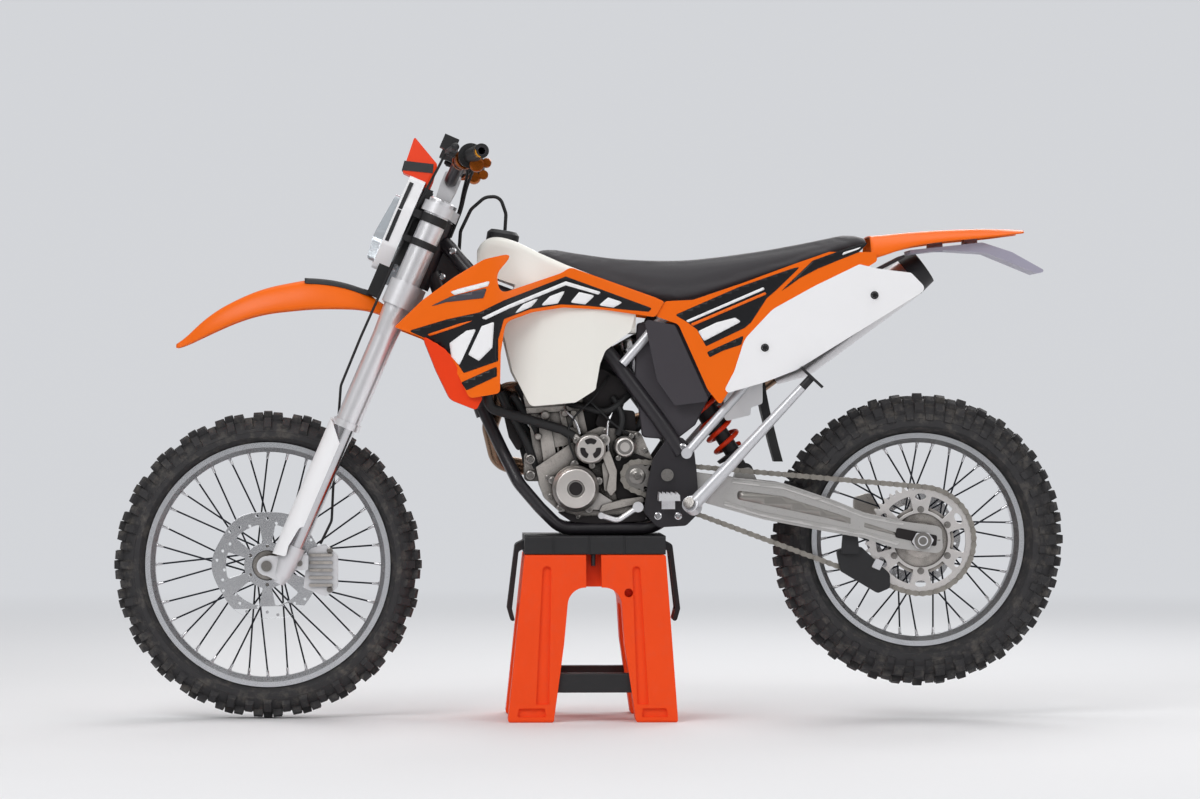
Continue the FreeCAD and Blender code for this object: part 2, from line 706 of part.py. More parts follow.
def grip_frame():
    """The inner end of the left grip and the direction of the bar there."""
    points = bar_points()
    along = points[3] - points[2]
    along.normalize()
    return BAR_END - along * GRIP_LENGTH, along


def handlebar():
    """The tapered handlebar with blind ends for hand guards."""
    points = bar_points()
    start, along = grip_frame()
    thick = start - along * 60
    left = tube([points[0], points[1], points[2], thick], BAR_RADIUS, BAR_BEND)
    thin = rod(thick, BAR_END, BAR_GRIP_RADIUS)
    left = fused(left, thin)
    left = left.cut(rod(BAR_END - along * 60, BAR_END + along, 8.0))
    return steer(fused(left, mirrored(left)))


def grips():
    """The rubber grips, open at the bar ends."""
    start, along = grip_frame()
    grip = rod(start, BAR_END - along * 0.5, GRIP_RADIUS)
    flange = rod(start, start + along * 6, GRIP_FLANGE_RADIUS)
    bore = rod(start - along * 5, BAR_END + along * 5, BAR_GRIP_RADIUS + CLAMP_FIT)
    return steer(both_sides(fused(grip, flange).cut(bore)))


def bar_mounts():
    """The two risers and caps that hold the bar on the upper clamp."""
    foot = UPPER_CLAMP_TOP + SEAT_GAP
    outline = [(BAR_BACK - 20, BAR_HEIGHT + 18, 6), (BAR_BACK + 20, BAR_HEIGHT + 18, 6),
               (BAR_BACK + 20, BAR_HEIGHT - 18, 4), (BAR_BACK + 15, foot, 0), (BAR_BACK - 15, foot, 0),
               (BAR_BACK - 20, BAR_HEIGHT - 18, 4)]
    riser = prism("side", outline, -RISER_SIDE - RISER_HALF, -RISER_SIDE + RISER_HALF)
    bar = rod(V(BAR_BACK, -100, BAR_HEIGHT), V(BAR_BACK, 0, BAR_HEIGHT), BAR_RADIUS + CLAMP_FIT)
    return steer(both_sides(riser.cut(bar)))


LEVER_GAP = 45.0


def hand_controls():
    """A lever perch, reservoir and lever on each side of the bar."""
    start, along = grip_frame()
    perch_at = start - along * 42
    perch = rod(perch_at - along * 12, perch_at + along * 12, BAR_GRIP_RADIUS + 7)
    arm = rod(perch_at, perch_at + V(-LEVER_GAP, 0, -6), 8)
    pivot = perch_at + V(-LEVER_GAP, 0, -6)
    end = BAR_END + V(-LEVER_GAP - 12, 18, -14)
    lever = tube([pivot, pivot + along * 50 + V(-6, 0, -3), end], 5.5, 60)
    ball = Part.makeSphere(9, end)
    tank = Part.makeBox(34, 52, 32, perch_at + V(-LEVER_GAP - 20, -6, -2))
    bore = rod(perch_at - along * 30, perch_at + along * 30, BAR_GRIP_RADIUS + CLAMP_FIT)
    return steer(both_sides(fused(perch, arm, lever, ball, tank).cut(bore)))


# Mask, lamp and front fender

MASK_WALL = 3.0
MASK_FRONT = -112.0
MASK_REAR = -74.0
MASK_FOOT = 716.0
MASK_TOP = 940.0


def mask_outline(inset):
    """The front view of the mask, wide at the top and narrow at its foot."""
    return [(-42 + inset, MASK_FOOT + inset, 12), (42 - inset, MASK_FOOT + inset, 12),
            (92 - inset, MASK_FOOT + 60, 20), (112 - inset, MASK_FOOT + 150, 24),
            (70 - inset, MASK_TOP - inset, 14), (-70 + inset, MASK_TOP - inset, 14),
            (-112 + inset, MASK_FOOT + 150, 24), (-92 + inset, MASK_FOOT + 60, 20)]


def headlight_mask():
    """The white number mask round the headlamp, an open shell toward the fork."""
    outer = prism("front", mask_outline(0), MASK_FRONT, MASK_REAR)
    hollow = prism("front", mask_outline(MASK_WALL), MASK_FRONT + MASK_WALL, MASK_REAR + 1)
    window = prism("front", lamp_outline(-SEAT_GAP), MASK_FRONT - 5, MASK_REAR)
    return steer(outer.cut(hollow).cut(window))


def lamp_outline(inset):
    """The front view of the headlamp."""
    return [(-34 + inset, MASK_FOOT + 10 + inset, 14), (34 - inset, MASK_FOOT + 10 + inset, 14),
            (70 - inset, MASK_FOOT + 84, 20), (62 - inset, MASK_FOOT + 176 - inset, 16),
            (-62 + inset, MASK_FOOT + 176 - inset, 16), (-70 + inset, MASK_FOOT + 84, 20)]


def headlamp():
    """The lamp with a bulged lens, behind the mask's window, and its arm to the lower clamp."""
    body = prism("front", lamp_outline(0), MASK_FRONT - 2, MASK_REAR + 16)
    face = prism("front", lamp_outline(3), MASK_FRONT - 26, MASK_FRONT - 2)
    bulge = prism("side", [(MASK_FRONT - 2, MASK_FOOT + 10, 0), (MASK_FRONT - 18, MASK_FOOT + 14, 10),
                           (MASK_FRONT - 24, MASK_FOOT + 70, 60), (MASK_FRONT - 12, MASK_FOOT + 180, 10),
                           (MASK_FRONT - 2, MASK_FOOT + 184, 0)], -90, 90)
    arm = Part.makeBox(40, 36, 70, V(MASK_REAR + SEAT_GAP, -18, LOWER_CLAMP_TOP - 20))
    clamp = moved(clamp_plate(LOWER_CLAMP_FOOT, LOWER_CLAMP_TOP, LOWER_CLAMP_REAR, LOWER_CLAMP_WAIST),
                  V(-SEAT_GAP, 0, SEAT_GAP))
    return steer(fused(body, face.common(bulge), biggest_solid(arm.cut(clamp))))


def mask_cowl():
    """The orange peak above the mask."""
    seat = MASK_TOP + SEAT_GAP
    behind = MASK_REAR + SEAT_GAP
    outline = [(-139, 1026, 3), (-66, 988, 8), (-56, 925, 6), (behind, 915, 4), (behind, seat, 0), (-132, seat, 4)]
    plan = [(-150, -38, 10), (-60, -62, 10), (-60, 62, 10), (-150, 38, 10)]
    peak = prism("side", outline, -70, 70).common(prism("plan", plan, 900, 1040))
    hollow = prism("side", [(-112, 1040, 0), (-40, 1000, 0), (-40, 900, 0), (-98, 900, 0), (-120, 960, 6)], -36, 36)
    return steer(peak.cut(hollow))


FENDER_WALL = 3.0
# Stations as they lie with the lower clamp's foot at FENDER_CLAMP_FOOT
FENDER_CLAMP_FOOT = 655.0
FRONT_FENDER_STATIONS = [
    (-942, 838, 26, 843, 22), (-905, 856, 40, 884, 34), (-862, 877, 52, 922, 42), (-800, 905, 62, 956, 48),
    (-740, 922, 66, 980, 50), (-632, 933, 67, 1001, 50), (-560, 933, 66, 991, 48), (-512, 931, 64, 975, 46),
    (-476, 920, 60, 944, 44), (-440, 902, 54, 924, 40), (-398, 882, 46, 902, 34)]


def arch_section(x, low, half_low, high, half_high):
    """An upside-down channel across the machine."""
    wall = FENDER_WALL
    points = [(-half_low, low, 0), (-half_high, high, 12), (half_high, high, 12), (half_low, low, 0),
              (half_low - wall, low, 0), (half_high - wall, high - wall, 10),
              (-half_high + wall, high - wall, 10), (-half_low + wall, low, 0)]
    return flat_wire("front", points, x)


def front_fender():
    """The high front fender, an open arch that narrows to its tip, bolted under the lower clamp."""
    arch = lofted([arch_section(*station) for station in FRONT_FENDER_STATIONS])
    arch = moved(arch, STEER_AXIS * (LOWER_CLAMP_FOOT - FENDER_CLAMP_FOOT))
    seat = LOWER_CLAMP_FOOT - SEAT_GAP
    boss = steer(Part.makeBox(52, 60, 18, V(-36, -30, seat - 18)))
    above = steer(Part.makeBox(200, 300, 60, V(-60, -150, seat)))
    return fused(arch, boss).cut(above)


def front_caliper():
    """The front brake caliper, astride the disc, with its ear on the left lug."""
    body = prism("side", [(-652, 300, 10), (-640, 388, 14), (-600, 398, 14), (-574, 372, 14), (-574, 300, 14),
                          (-600, 280, 10)], FRONT_DISC_Y - 26, FRONT_DISC_Y + 20)
    slot = rod(FRONT_AXLE + ALONG_Y * (FRONT_DISC_Y - 3.5), FRONT_AXLE + ALONG_Y * (FRONT_DISC_Y + 3.5),
               FRONT_DISC_RADIUS + 5)
    ear = prism("side", [(-690, 340, 0), (-640, 340, 6), (-640, 376, 6), (-690, 376, 0)], -108, FRONT_DISC_Y - 12)
    ear = biggest_solid(ear.cut(steer(fork_socket(SEAT_GAP))))
    return fused(body.cut(slot), ear)


# Main frame and subframe

DOWNTUBE_RADIUS = 20.0
CRADLE_RADIUS = 14.0
CRADLE_Y = 70.0
CRADLE_HEIGHT = CRADLE_FOOT + CRADLE_RADIUS + SEAT_GAP
BEAM_RADIUS = 17.0
PLATE_INNER_Y = 101.0
PLATE_OUTER_Y = 113.0
PIVOT = V(171, 0, 555)
PIVOT_BOLT_RADIUS = 8.0
HEAD_FOOT = LOWER_CLAMP_TOP + HEAD_GAP
HEAD_TOP = UPPER_CLAMP_FOOT - HEAD_GAP
PLATE_OUTLINE = [(118, 470, 14), (150, 436, 20), (214, 440, 16), (244, 470, 16), (238, 560, 20),
                 (232, 612, 10), (205, 640, 12), (172, 640, 12), (138, 590, 30), (128, 540, 20)]


def downtube(grow=0.0):
    """The single tube from the head down to where the cradle divides."""
    return rod(steer_point(24, 0, HEAD_FOOT + 45), V(-240, 0, 690), DOWNTUBE_RADIUS + grow)


def cradle(grow=0.0):
    """The left cradle tube, under the engine and back to the pivot plate."""
    points = [V(-246, -10, 706), V(-202, -34, 612), V(-163, -64, 535), V(-116, -CRADLE_Y, 480),
              V(-68, -CRADLE_Y, CRADLE_HEIGHT), V(132, -CRADLE_Y, CRADLE_HEIGHT),
              V(186, -PLATE_INNER_Y, CRADLE_HEIGHT + 32)]
    return tube(points, CRADLE_RADIUS + grow, 60)


def top_beam(grow=0.0):
    """The left beam from the head back and down to the pivot plate."""
    points = [steer_point(18, -14, HEAD_TOP - 44), V(-250, -52, 985), V(-120, -80, 935), V(34, -84, 839),
              V(156, -96, 676), V(204, -108, 604)]
    return tube(points, BEAM_RADIUS + grow, 120)


def head_tube():
    """The steering head with the stem's bore."""
    outside = rod(V(0, 0, HEAD_FOOT), V(0, 0, HEAD_TOP), HEAD_RADIUS)
    return steer(outside)


def head_bore():
    """The bore that the stem turns in."""
    return steer(rod(V(0, 0, HEAD_FOOT - 20), V(0, 0, HEAD_TOP + 20), STEM_RADIUS + SHAFT_FIT))


def head_gusset():
    """The plate that ties the head, downtube and beams together."""
    outline = [(-352, 1070, 10), (-300, 1040, 20), (-262, 1000, 10), (-190, 968, 10), (-190, 945, 10),
               (-262, 905, 40), (-312, 850, 10), (-334, 862, 10), (-342, 974, 6), (-370, 986, 0)]
    return prism("side", outline, -12, 12)


def pivot_plate():
    """The left forged plate round the swingarm pivot."""
    plate = prism("side", PLATE_OUTLINE, -PLATE_OUTER_Y, -PLATE_INNER_Y)
    bore = rod(PIVOT + ALONG_Y * -130, PIVOT, PIVOT_BOLT_RADIUS + CLAMP_FIT)
    return plate.cut(bore)


def main_frame():
    """The frame: head, gusset, downtube, cradle, beams, pivot plates and cross tubes."""
    cross_low = rod(V(196, -PLATE_INNER_Y - 2, 452), V(196, PLATE_INNER_Y + 2, 452), 10)
    cross_top = rod(V(-120, -80, 935), V(-120, 80, 935), 12)
    cross_shock = rod(V(128, -93, 713), V(128, 93, 713), 11)
    left = [cradle(), top_beam(), pivot_plate()]
    right = [mirrored(piece) for piece in left]
    frame = fused(head_tube(), head_gusset(), downtube(), *left, *right, cross_low, cross_top, cross_shock)
    return frame.cut(head_bore())


SUBFRAME_RADIUS = 10.0
SUBFRAME_TOP = [V(70, -104, 806), V(124, -98, 868), V(156, -88, 908), V(214, -84, 928), V(320, -84, 962),
                V(460, -84, 1008), V(600, -84, 1044)]
CROSS_RADIUS = 8.0
CROSS_REAR = V(560, -84, 1030)
CROSS_MIDDLE = V(320, -84, 962)
SUBFRAME_LOW = [V(214, -126, 604), V(331, -100, 736), V(470, -88, 900), V(582, -86, 1022)]


def subframe_tube(points, grow=0.0):
    """One left tube of the subframe, made thicker by grow."""
    return tube(points, SUBFRAME_RADIUS + grow, 90)


def subframe():
    """The bolt-on tubes under the seat."""
    top = subframe_tube(SUBFRAME_TOP)
    low = subframe_tube(SUBFRAME_LOW)
    foot = rod(V(214, -136, 604), V(214, -PLATE_OUTER_Y - SEAT_GAP, 604), 12)
    left = fused(top, low, foot)
    cross_rear = rod(CROSS_REAR, mirrored_point(CROSS_REAR), CROSS_RADIUS)
    cross_mid = rod(CROSS_MIDDLE, mirrored_point(CROSS_MIDDLE), CROSS_RADIUS)
    whole = fused(left, mirrored(left), cross_rear, cross_mid)
    beams = Part.makeCompound([top_beam(SEAT_GAP), mirrored(top_beam(SEAT_GAP))])
    return whole.cut(beams)


# Swingarm and shock

# Swingarm outlines as they lie with the axle at ARM_AXLE_HEIGHT
ARM_AXLE_HEIGHT = 406.0
ARM_TOP = [(156, 567, 8), (230, 561, 0), (313, 550, 80), (434, 537, 120), (546, 499, 120), (617, 470, 60),
           (710, 449, 60), (792, 438, 16)]
ARM_LOW = [(796, 376, 16), (683, 390, 60), (617, 412, 60), (531, 427, 80), (390, 454, 80), (262, 490, 30),
           (156, 540, 10)]
ARM_INNER_Y = 101.0
ARM_OUTER_Y = 132.0
ARM_PLAN = [(150, -64, 0), (330, -80, 60), (470, -96, 60), (606, -ARM_INNER_Y, 10), (800, -ARM_INNER_Y, 0),
            (800, -ARM_OUTER_Y, 0), (600, -ARM_OUTER_Y, 80), (340, -114, 40), (254, -98, 20), (150, -98, 0)]
AXLE_SLOT_HALF = 26.0


def follow_axle(points):
    """Side points of the swingarm or of what it carries, lowered with the axle in step with their reach."""
    slope = (REAR_AXLE.z - ARM_AXLE_HEIGHT) / (REAR_AXLE.x - PIVOT.x)
    return [(x, z + slope * (x - PIVOT.x), radius) for x, z, radius in points]


def arm_side(clearance=0.0):
    """The side outline of an arm as a block, lowered by a clearance."""
    outline = [(x, z - clearance, radius) for x, z, radius in follow_axle(ARM_TOP + ARM_LOW)]
    return prism("side", outline, -140, -50)


def swingarm():
    """The cast swingarm: pivot tube, two tapering arms, bridge and axle slots."""
    arm = arm_side().common(prism("plan", ARM_PLAN, 350, 600))
    bridge = prism("side", follow_axle([(214, 556, 8), (300, 550, 20), (392, 534, 10), (396, 470, 10),
                                        (300, 486, 20), (226, 506, 10)]), -84, 84)
    clevis = prism("side", follow_axle([(326, 540, 4), (334, 566, 10), (366, 572, 10), (382, 540, 4)]), -26, 26)
    pivot_tube = rod(PIVOT + ALONG_Y * -76, PIVOT + ALONG_Y * 76, 27)
    pivot_ends = rod(PIVOT - ALONG_Y * (PLATE_INNER_Y - SEAT_GAP), PIVOT + ALONG_Y * (PLATE_INNER_Y - SEAT_GAP), 15)
    web = prism("side", [(171, 581, 0), (230, 561, 4), (236, 504, 4), (171, 529, 0)], -64, 64)
    whole = fused(arm, mirrored(arm), bridge, clevis, pivot_tube, pivot_ends, web)
    slot = AXLE_RADIUS + CLAMP_FIT
    outline = [(REAR_AXLE.x - AXLE_SLOT_HALF, REAR_AXLE.z - slot, slot - 1),
               (REAR_AXLE.x + AXLE_SLOT_HALF, REAR_AXLE.z - slot, slot - 1),
               (REAR_AXLE.x + AXLE_SLOT_HALF, REAR_AXLE.z + slot, slot - 1),
               (REAR_AXLE.x - AXLE_SLOT_HALF, REAR_AXLE.z + slot, slot - 1)]
    whole = whole.cut(prism("side", outline, -150, 150))
    bolt = rod(PIVOT - ALONG_Y * 130, PIVOT + ALONG_Y * 130, PIVOT_BOLT_RADIUS + CLAMP_FIT)
    eye = rod(SHOCK_FOOT - ALONG_Y * 14, SHOCK_FOOT + ALONG_Y * 14, 20)
    return whole.cut(bolt).cut(eye)


def pivot_bolt():
    """The swingarm pivot bolt through both frame plates."""
    bar = rod(PIVOT - ALONG_Y * 122, PIVOT + ALONG_Y * 122, PIVOT_BOLT_RADIUS)
    head = rod(PIVOT - ALONG_Y * 122, PIVOT - ALONG_Y * (PLATE_OUTER_Y + SEAT_GAP), 14)
    nut = rod(PIVOT + ALONG_Y * (PLATE_OUTER_Y + SEAT_GAP), PIVOT + ALONG_Y * 122, 14)
    return fused(bar, head, nut)


def rear_axle():
    """The rear axle with its spacers and adjuster blocks."""
    end = 140.0
    bar = rod(REAR_AXLE - ALONG_Y * end, REAR_AXLE + ALONG_Y * end, AXLE_RADIUS)
    left_spacer = ring(REAR_AXLE, ALONG_Y, -ARM_INNER_Y + SEAT_GAP, CHAIN_Y - SPROCKET_HALF - 5, 18, AXLE_RADIUS - 1)
    right_spacer = ring(REAR_AXLE, ALONG_Y, REAR_DISC_Y + 3, ARM_INNER_Y - SEAT_GAP, 18, AXLE_RADIUS - 1)
    left_nut = rod(REAR_AXLE - ALONG_Y * end, REAR_AXLE - ALONG_Y * (ARM_OUTER_Y + SEAT_GAP), 19)
    right_nut = mirrored(left_nut)
    return fused(bar, left_spacer, right_spacer, left_nut, right_nut)


SHOCK_FOOT_X, SHOCK_FOOT_Z, _ = follow_axle([(354, 562, 0)])[0]
SHOCK_FOOT = V(SHOCK_FOOT_X, 0, SHOCK_FOOT_Z)
SHOCK_TOP = V(140, 0, 902)
SPRING_RADIUS = 38.0
SPRING_WIRE = 6.0
SHOCK_BODY_RADIUS = 26.0


def shock_axis():
    """The direction of the shock from its foot to its top."""
    axis = SHOCK_TOP - SHOCK_FOOT
    axis.normalize()
    return axis


def shock():
    """The rear shock: eye, rod, spring seats, body and reservoir."""
    axis = shock_axis()
    length = (SHOCK_TOP - SHOCK_FOOT).Length
    profile = [(0, 14), (12, 14), (12, 40), (40, 44), (42, 52), (SHOCK_BODY_RADIUS - 8, 54),
               (SHOCK_BODY_RADIUS - 8, 110), (SHOCK_BODY_RADIUS, 112), (SHOCK_BODY_RADIUS, 268),
               (42, 270), (42, 284), (SHOCK_BODY_RADIUS + 3, 288), (SHOCK_BODY_RADIUS + 3, length - 60),
               (16, length - 40), (16, length - 10), (0, length - 10)]
    body = turned(profile, SHOCK_FOOT, axis)
    eye = rod(SHOCK_FOOT - ALONG_Y * 13, SHOCK_FOOT + ALONG_Y * 13, 19)
    top_eye = rod(SHOCK_TOP - ALONG_Y * 16, SHOCK_TOP + ALONG_Y * 16, 16)
    return fused(body, eye, top_eye)


def shock_spring():
    """The coil spring's rings, between the two seats."""
    axis = shock_axis()
    low = 54 + SEAT_GAP
    high = 268 - SEAT_GAP
    coils = 8
    step = (high - low) / coils
    profile = [(SPRING_RADIUS - SPRING_WIRE * 1.6, low), (SPRING_RADIUS - SPRING_WIRE, low)]
    for index in range(coils):
        start = low + index * step
        profile.append((SPRING_RADIUS, start + step * 0.3, 4))
        profile.append((SPRING_RADIUS, start + step * 0.7, 4))
        profile.append((SPRING_RADIUS - SPRING_WIRE, start + step))
    profile.append((SPRING_RADIUS - SPRING_WIRE * 1.6, high))
    return turned(profile, SHOCK_FOOT, axis)


# Engine

CASE_LEFT = -74.0
CASE_RIGHT = 80.0
DECK_FRONT = (-125, 572)
DECK_REAR = (-8, 652)
CASE_OUTLINE = [DECK_FRONT, (-116, 530, 16), (-104, 500, 20), (-66, 466, 20), (-38, 449, 10), (104, 449, 20),
                (134, 478, 12), (132, 540, 16), (140, 590, 16), (112, 652, 16), (20, 664, 16), DECK_REAR]
SUMP_OUTLINE = [(-36, 452, 0), (-26, 424, 12), (92, 424, 12), (100, 452, 0)]
PORT_X = -153.0
CYLINDER_HALF = 54.0
CYLINDER_OUTLINE = [DECK_FRONT, (-138, 660, 0), (PORT_X, 730, 10), (PORT_X, 812, 14), (-130, 836, 14), (-36, 842, 14),
                    (-18, 812, 10), (-18, 700, 10), DECK_REAR]
IGNITION_CENTRE = V(-36, 0, 524)
CLUTCH_CENTRE = V(44, 0, 524)
PUMP_CENTRE = V(-2, 0, 614)
STARTER_CENTRE = V(76, 0, 618)
PUMP_STUB = V(-26, CASE_LEFT - 16, 634)
PUMP_STUB_AXIS = V(-0.86, 0, 0.51).normalize()


def crankcase():
    """The crankcase with its sump between the cradle tubes, front mounts and the clutch cylinder's boss."""
    case = prism("side", CASE_OUTLINE, CASE_LEFT, CASE_RIGHT)
    sump = prism("side", SUMP_OUTLINE, -50, 50)
    boss = prism("side", [(24, 580, 6), (42, 590, 6), (56, 548, 8), (50, 515, 6), (30, 518, 6)], CASE_LEFT - 18, CASE_LEFT)
    mounts = []
    for side in (-1, 1):
        low, high = sorted((side * 30, side * 58))
        mounts.append(prism("side", [(-152, 604, 8), (-116, 606, 0), (-106, 540, 0), (-150, 540, 8)], low, high))
        for x, z in ((-138, 590), (-138, 554)):
            mounts.append(rod(V(x, side * 30, z), V(x, side * 70, z), 9))
    deck = prism("side", CYLINDER_OUTLINE, -80, 90)
    return fused(case, sump, boss, *[mount.cut(deck) for mount in mounts])


def cylinder():
    """The cylinder and head, leaning forward on the crankcase, with two flanges and the cast forms of its sides."""
    block = prism("side", CYLINDER_OUTLINE, -CYLINDER_HALF, CYLINDER_HALF)
    flanges = [prism("side", [(-147, 694, 3), (-18, 702, 3), (-18, 714, 3), (-149, 706, 3)], -60, 60),
               prism("side", [(PORT_X, 776, 3), (-18, 782, 3), (-18, 794, 3), (PORT_X, 788, 3)], -60, 60)]
    post = prism("side", [(-122, 690, 6), (-96, 690, 6), (-72, 560, 6), (-104, 560, 6)], -66, 66)
    jacket = prism("side", [(-92, 662, 5), (-22, 662, 5), (-24, 628, 5), (-86, 616, 5)], -62, 62)
    struts = [prism("side", [(x, 700, 3), (x + 12, 700, 3), (x + 20, 660, 3), (x + 8, 660, 3)], -64, 64)
              for x in (-72, -46)]
    space = prism("side", CYLINDER_OUTLINE, -80, 80)
    return fused(block, *[piece.common(space) for piece in (*flanges, post, jacket, *struts)])


def round_cover(centre, wall, side, radius, depth, dome):
    """A round cover that stands out from one wall of the crankcase."""
    profile = [(0, 0), (radius, 0), (radius, depth * 0.6, 6), (radius - dome, depth, 8), (0, depth)]
    if side < 0:
        profile = [(r, -y, *rest) for r, y, *rest in profile]
    return turned(profile, centre + ALONG_Y * (wall + side * SEAT_GAP))


def ignition_cover():
    """The ignition cover: a stepped dome with a sunk plug, five ears and a tail toward the gear shaft."""
    wall = IGNITION_CENTRE + ALONG_Y * (CASE_LEFT - SEAT_GAP)
    dome = turned([(0, 0), (53, 0), (53, -24, 5), (48, -30, 3), (45, -44, 5), (20, -46, 2), (18, -40), (0, -40)], wall)
    ears = []
    for turn in (18, 92, 160, 232, 304):
        x, z = polar(55, turn)
        ears.append(rod(wall + V(x, 0, z), wall + V(x, -14, z), 9))
    tail = prism("side", [(-20, 478, 4), (10, 520, 4), (50, 494, 10), (44, 474, 10)], wall.y - 12, wall.y)
    return fused(dome, *ears, tail)


def pump_cover():
    """The pump cover with three sunk arcs, a lobe and the stub that its hose slips on."""
    wall = PUMP_CENTRE + ALONG_Y * (CASE_LEFT - SEAT_GAP)
    dome = turned([(0, 0), (35, 0), (35, -26, 4), (30, -32, 3), (0, -32)], wall)
    lobe = rod(wall + V(31, 0, 20), wall + V(31, -22, 20), 13)
    for turn in (90, 210, 330):
        recess = placed_prism(wall, window(12, 23, turn, 40), 60)
        dome = dome.cut(recess.common(rod(wall + V(0, -28, 0), wall + V(0, -60, 0), 40)))
    stub = rod(PUMP_STUB, PUMP_STUB + PUMP_STUB_AXIS * 16, 8)
    return fused(dome, lobe, stub)


def engine_covers():
    """The ignition, pump and starter covers on the left, and the clutch and filter covers on the right."""
    starter = round_cover(STARTER_CENTRE, CASE_LEFT, -1, 26, 24, 6)
    starter = starter.cut(ring(STARTER_CENTRE, ALONG_Y, CASE_LEFT - 30, CASE_LEFT - 20, 17, 11))
    left = [ignition_cover(), pump_cover(), starter]
    right = [round_cover(CLUTCH_CENTRE, CASE_RIGHT, 1, 70, 46, 10), round_cover(V(-50, 0, 528), CASE_RIGHT, 1, 36, 34, 8),
             round_cover(V(-28, 0, 600), CASE_RIGHT, 1, 26, 26, 6)]
    return Part.makeCompound(left + right)


HEADER_RADIUS = 19.0
SILENCER_FOOT = V(426, 132, 779)
SILENCER_END = V(776, 132, 1036)
SILENCER_RADIUS = 50.0
SILENCER_AXIS = (SILENCER_END - SILENCER_FOOT).normalize()
HEADER_POINTS = [V(PORT_X - SEAT_GAP, 16, 748), V(-200, 16, 748), V(-228, 62, 664), V(-208, 98, 580), V(-120, 124, 566),
                 V(-30, 128, 640), V(90, 138, 668), V(220, 143, 708), V(330, 139, 730),
                 SILENCER_FOOT - SILENCER_AXIS * 40, SILENCER_FOOT]


def header(grow=0.0):
    """The line of the exhaust header, made thicker by grow."""
    return tube(HEADER_POINTS, HEADER_RADIUS + grow, 45)


def silencer(grow=0.0):
    """The silencer: inlet cone, can and end cap."""
    length = (SILENCER_END - SILENCER_FOOT).Length
    profile = [(0, SEAT_GAP), (HEADER_RADIUS + 4 + grow, SEAT_GAP), (SILENCER_RADIUS + grow, 70),
               (SILENCER_RADIUS + grow, length - 40), (SILENCER_RADIUS - 6 + grow, length), (0, length)]
    return turned(profile, SILENCER_FOOT, SILENCER_AXIS)


# Radiators, tank and seat

RADIATOR_OUTLINE = [(-312, 950, 6), (-258, 955, 6), (-208, 748, 6), (-262, 742, 6)]
RADIATOR_INNER_Y = 100.0
RADIATOR_OUTER_Y = 188.0
RADIATOR_PINS = [(-284, 850), (-262, 770)]
RADIATOR_PIN_RADIUS = 6.0


def radiators():
    """The two radiators, each on two pins to the downtube."""
    core = prism("side", RADIATOR_OUTLINE, -RADIATOR_OUTER_Y, -RADIATOR_INNER_Y)
    pins = []
    for x, z in RADIATOR_PINS:
        pin = rod(V(x, -RADIATOR_INNER_Y - 4, z), V(x, 0, z), RADIATOR_PIN_RADIUS)
        pins.append(pin.cut(downtube(SEAT_GAP)))
    return both_sides(fused(core, *pins))


TANK_SECTIONS = [
    (-258, 1012, 46, 1066, 34), (-238, 985, 62, 1090, 50), (-170, 955, 112, 1084, 84), (-90, 930, 140, 1046, 104),
    (-20, 905, 142, 1020, 110), (40, 885, 126, 998, 98), (100, 876, 110, 982, 88)]
SEAT_LINE = [(-126, 1062, 0), (-60, 1032, 60), (48, 990, 80), (140, 965, 60), (215, 956, 60), (306, 984, 60),
             (402, 1014, 60), (498, 1046, 60), (634, 1088, 0)]
TANK_LOBE_OUTLINE = [(-206, 898, 10), (-135, 960, 0), (28, 940, 0), (100, 925, 10), (88, 880, 20), (30, 836, 20),
                     (18, 806, 20), (8, 748, 10), (-37, 719, 12), (-139, 710, 16), (-180, 790, 20)]
TANK_TUNNEL = [(-300, 1006, 0), (-262, 1018, 0), (-120, 966, 40), (30, 874, 40), (140, 700, 0), (-300, 600, 0)]
TANK_TUNNEL_HALF = 104.0
LOBE_INNER_Y = 106.0
LOBE_OUTER_Y = 152.0


def fuel_tank():
    """The fuel tank, astride the frame beams, with a lobe down each side."""
    sections = [cross_section(x, low, half_low, high, half_high, 14, 26)
                for x, low, half_low, high, half_high in TANK_SECTIONS]
    upper = lofted(sections)
    lobe = prism("side", TANK_LOBE_OUTLINE, -LOBE_OUTER_Y, -LOBE_INNER_Y)
    slab = leaning_slab(700, [(-220, -128), (-120, -140), (0, -136), (110, -118)], 960,
                        [(-220, -134), (-120, -150), (0, -148), (110, -126)], 60, 80)
    lobe = lobe.common(slab)
    tunnel = prism("side", TANK_TUNNEL, -TANK_TUNNEL_HALF, TANK_TUNNEL_HALF)
    whole = fused(upper.cut(tunnel), lobe, mirrored(lobe))
    neck = rod(CAP_CENTRE, CAP_CENTRE + CAP_AXIS * 60, CAP_RADIUS + 3)
    return whole.cut(neck).cut(above_seat_line(-SEAT_GAP))


CAP_CENTRE = V(-202, 0, 1080)
CAP_AXIS = V(0.16, 0, 1).normalize()
CAP_RADIUS = 37.0
CAP_HEIGHT = 32.0


def fuel_cap():
    """The screw cap, seated in the tank's neck."""
    profile = [(0, SEAT_GAP), (CAP_RADIUS - 4, SEAT_GAP), (CAP_RADIUS, 6), (CAP_RADIUS, CAP_HEIGHT - 8, 3),
               (CAP_RADIUS - 8, CAP_HEIGHT, 3), (0, CAP_HEIGHT)]
    return turned(profile, CAP_CENTRE, CAP_AXIS)


# Each section: place, foot below the seat line, half widths at the foot and the top, height of the top
SEAT_SECTIONS = [
    (-126, 1050, 40, 1074, 30), (-60, 1020, 62, 1059, 48), (48, 976, 84, 1043, 62), (140, 950, 100, 1038, 72),
    (215, 940, 106, 1038, 80), (306, 966, 108, 1048, 88), (402, 998, 106, 1062, 90), (498, 1030, 102, 1080, 88),
    (600, 1060, 92, 1102, 78), (630, 1070, 84, 1100, 72)]


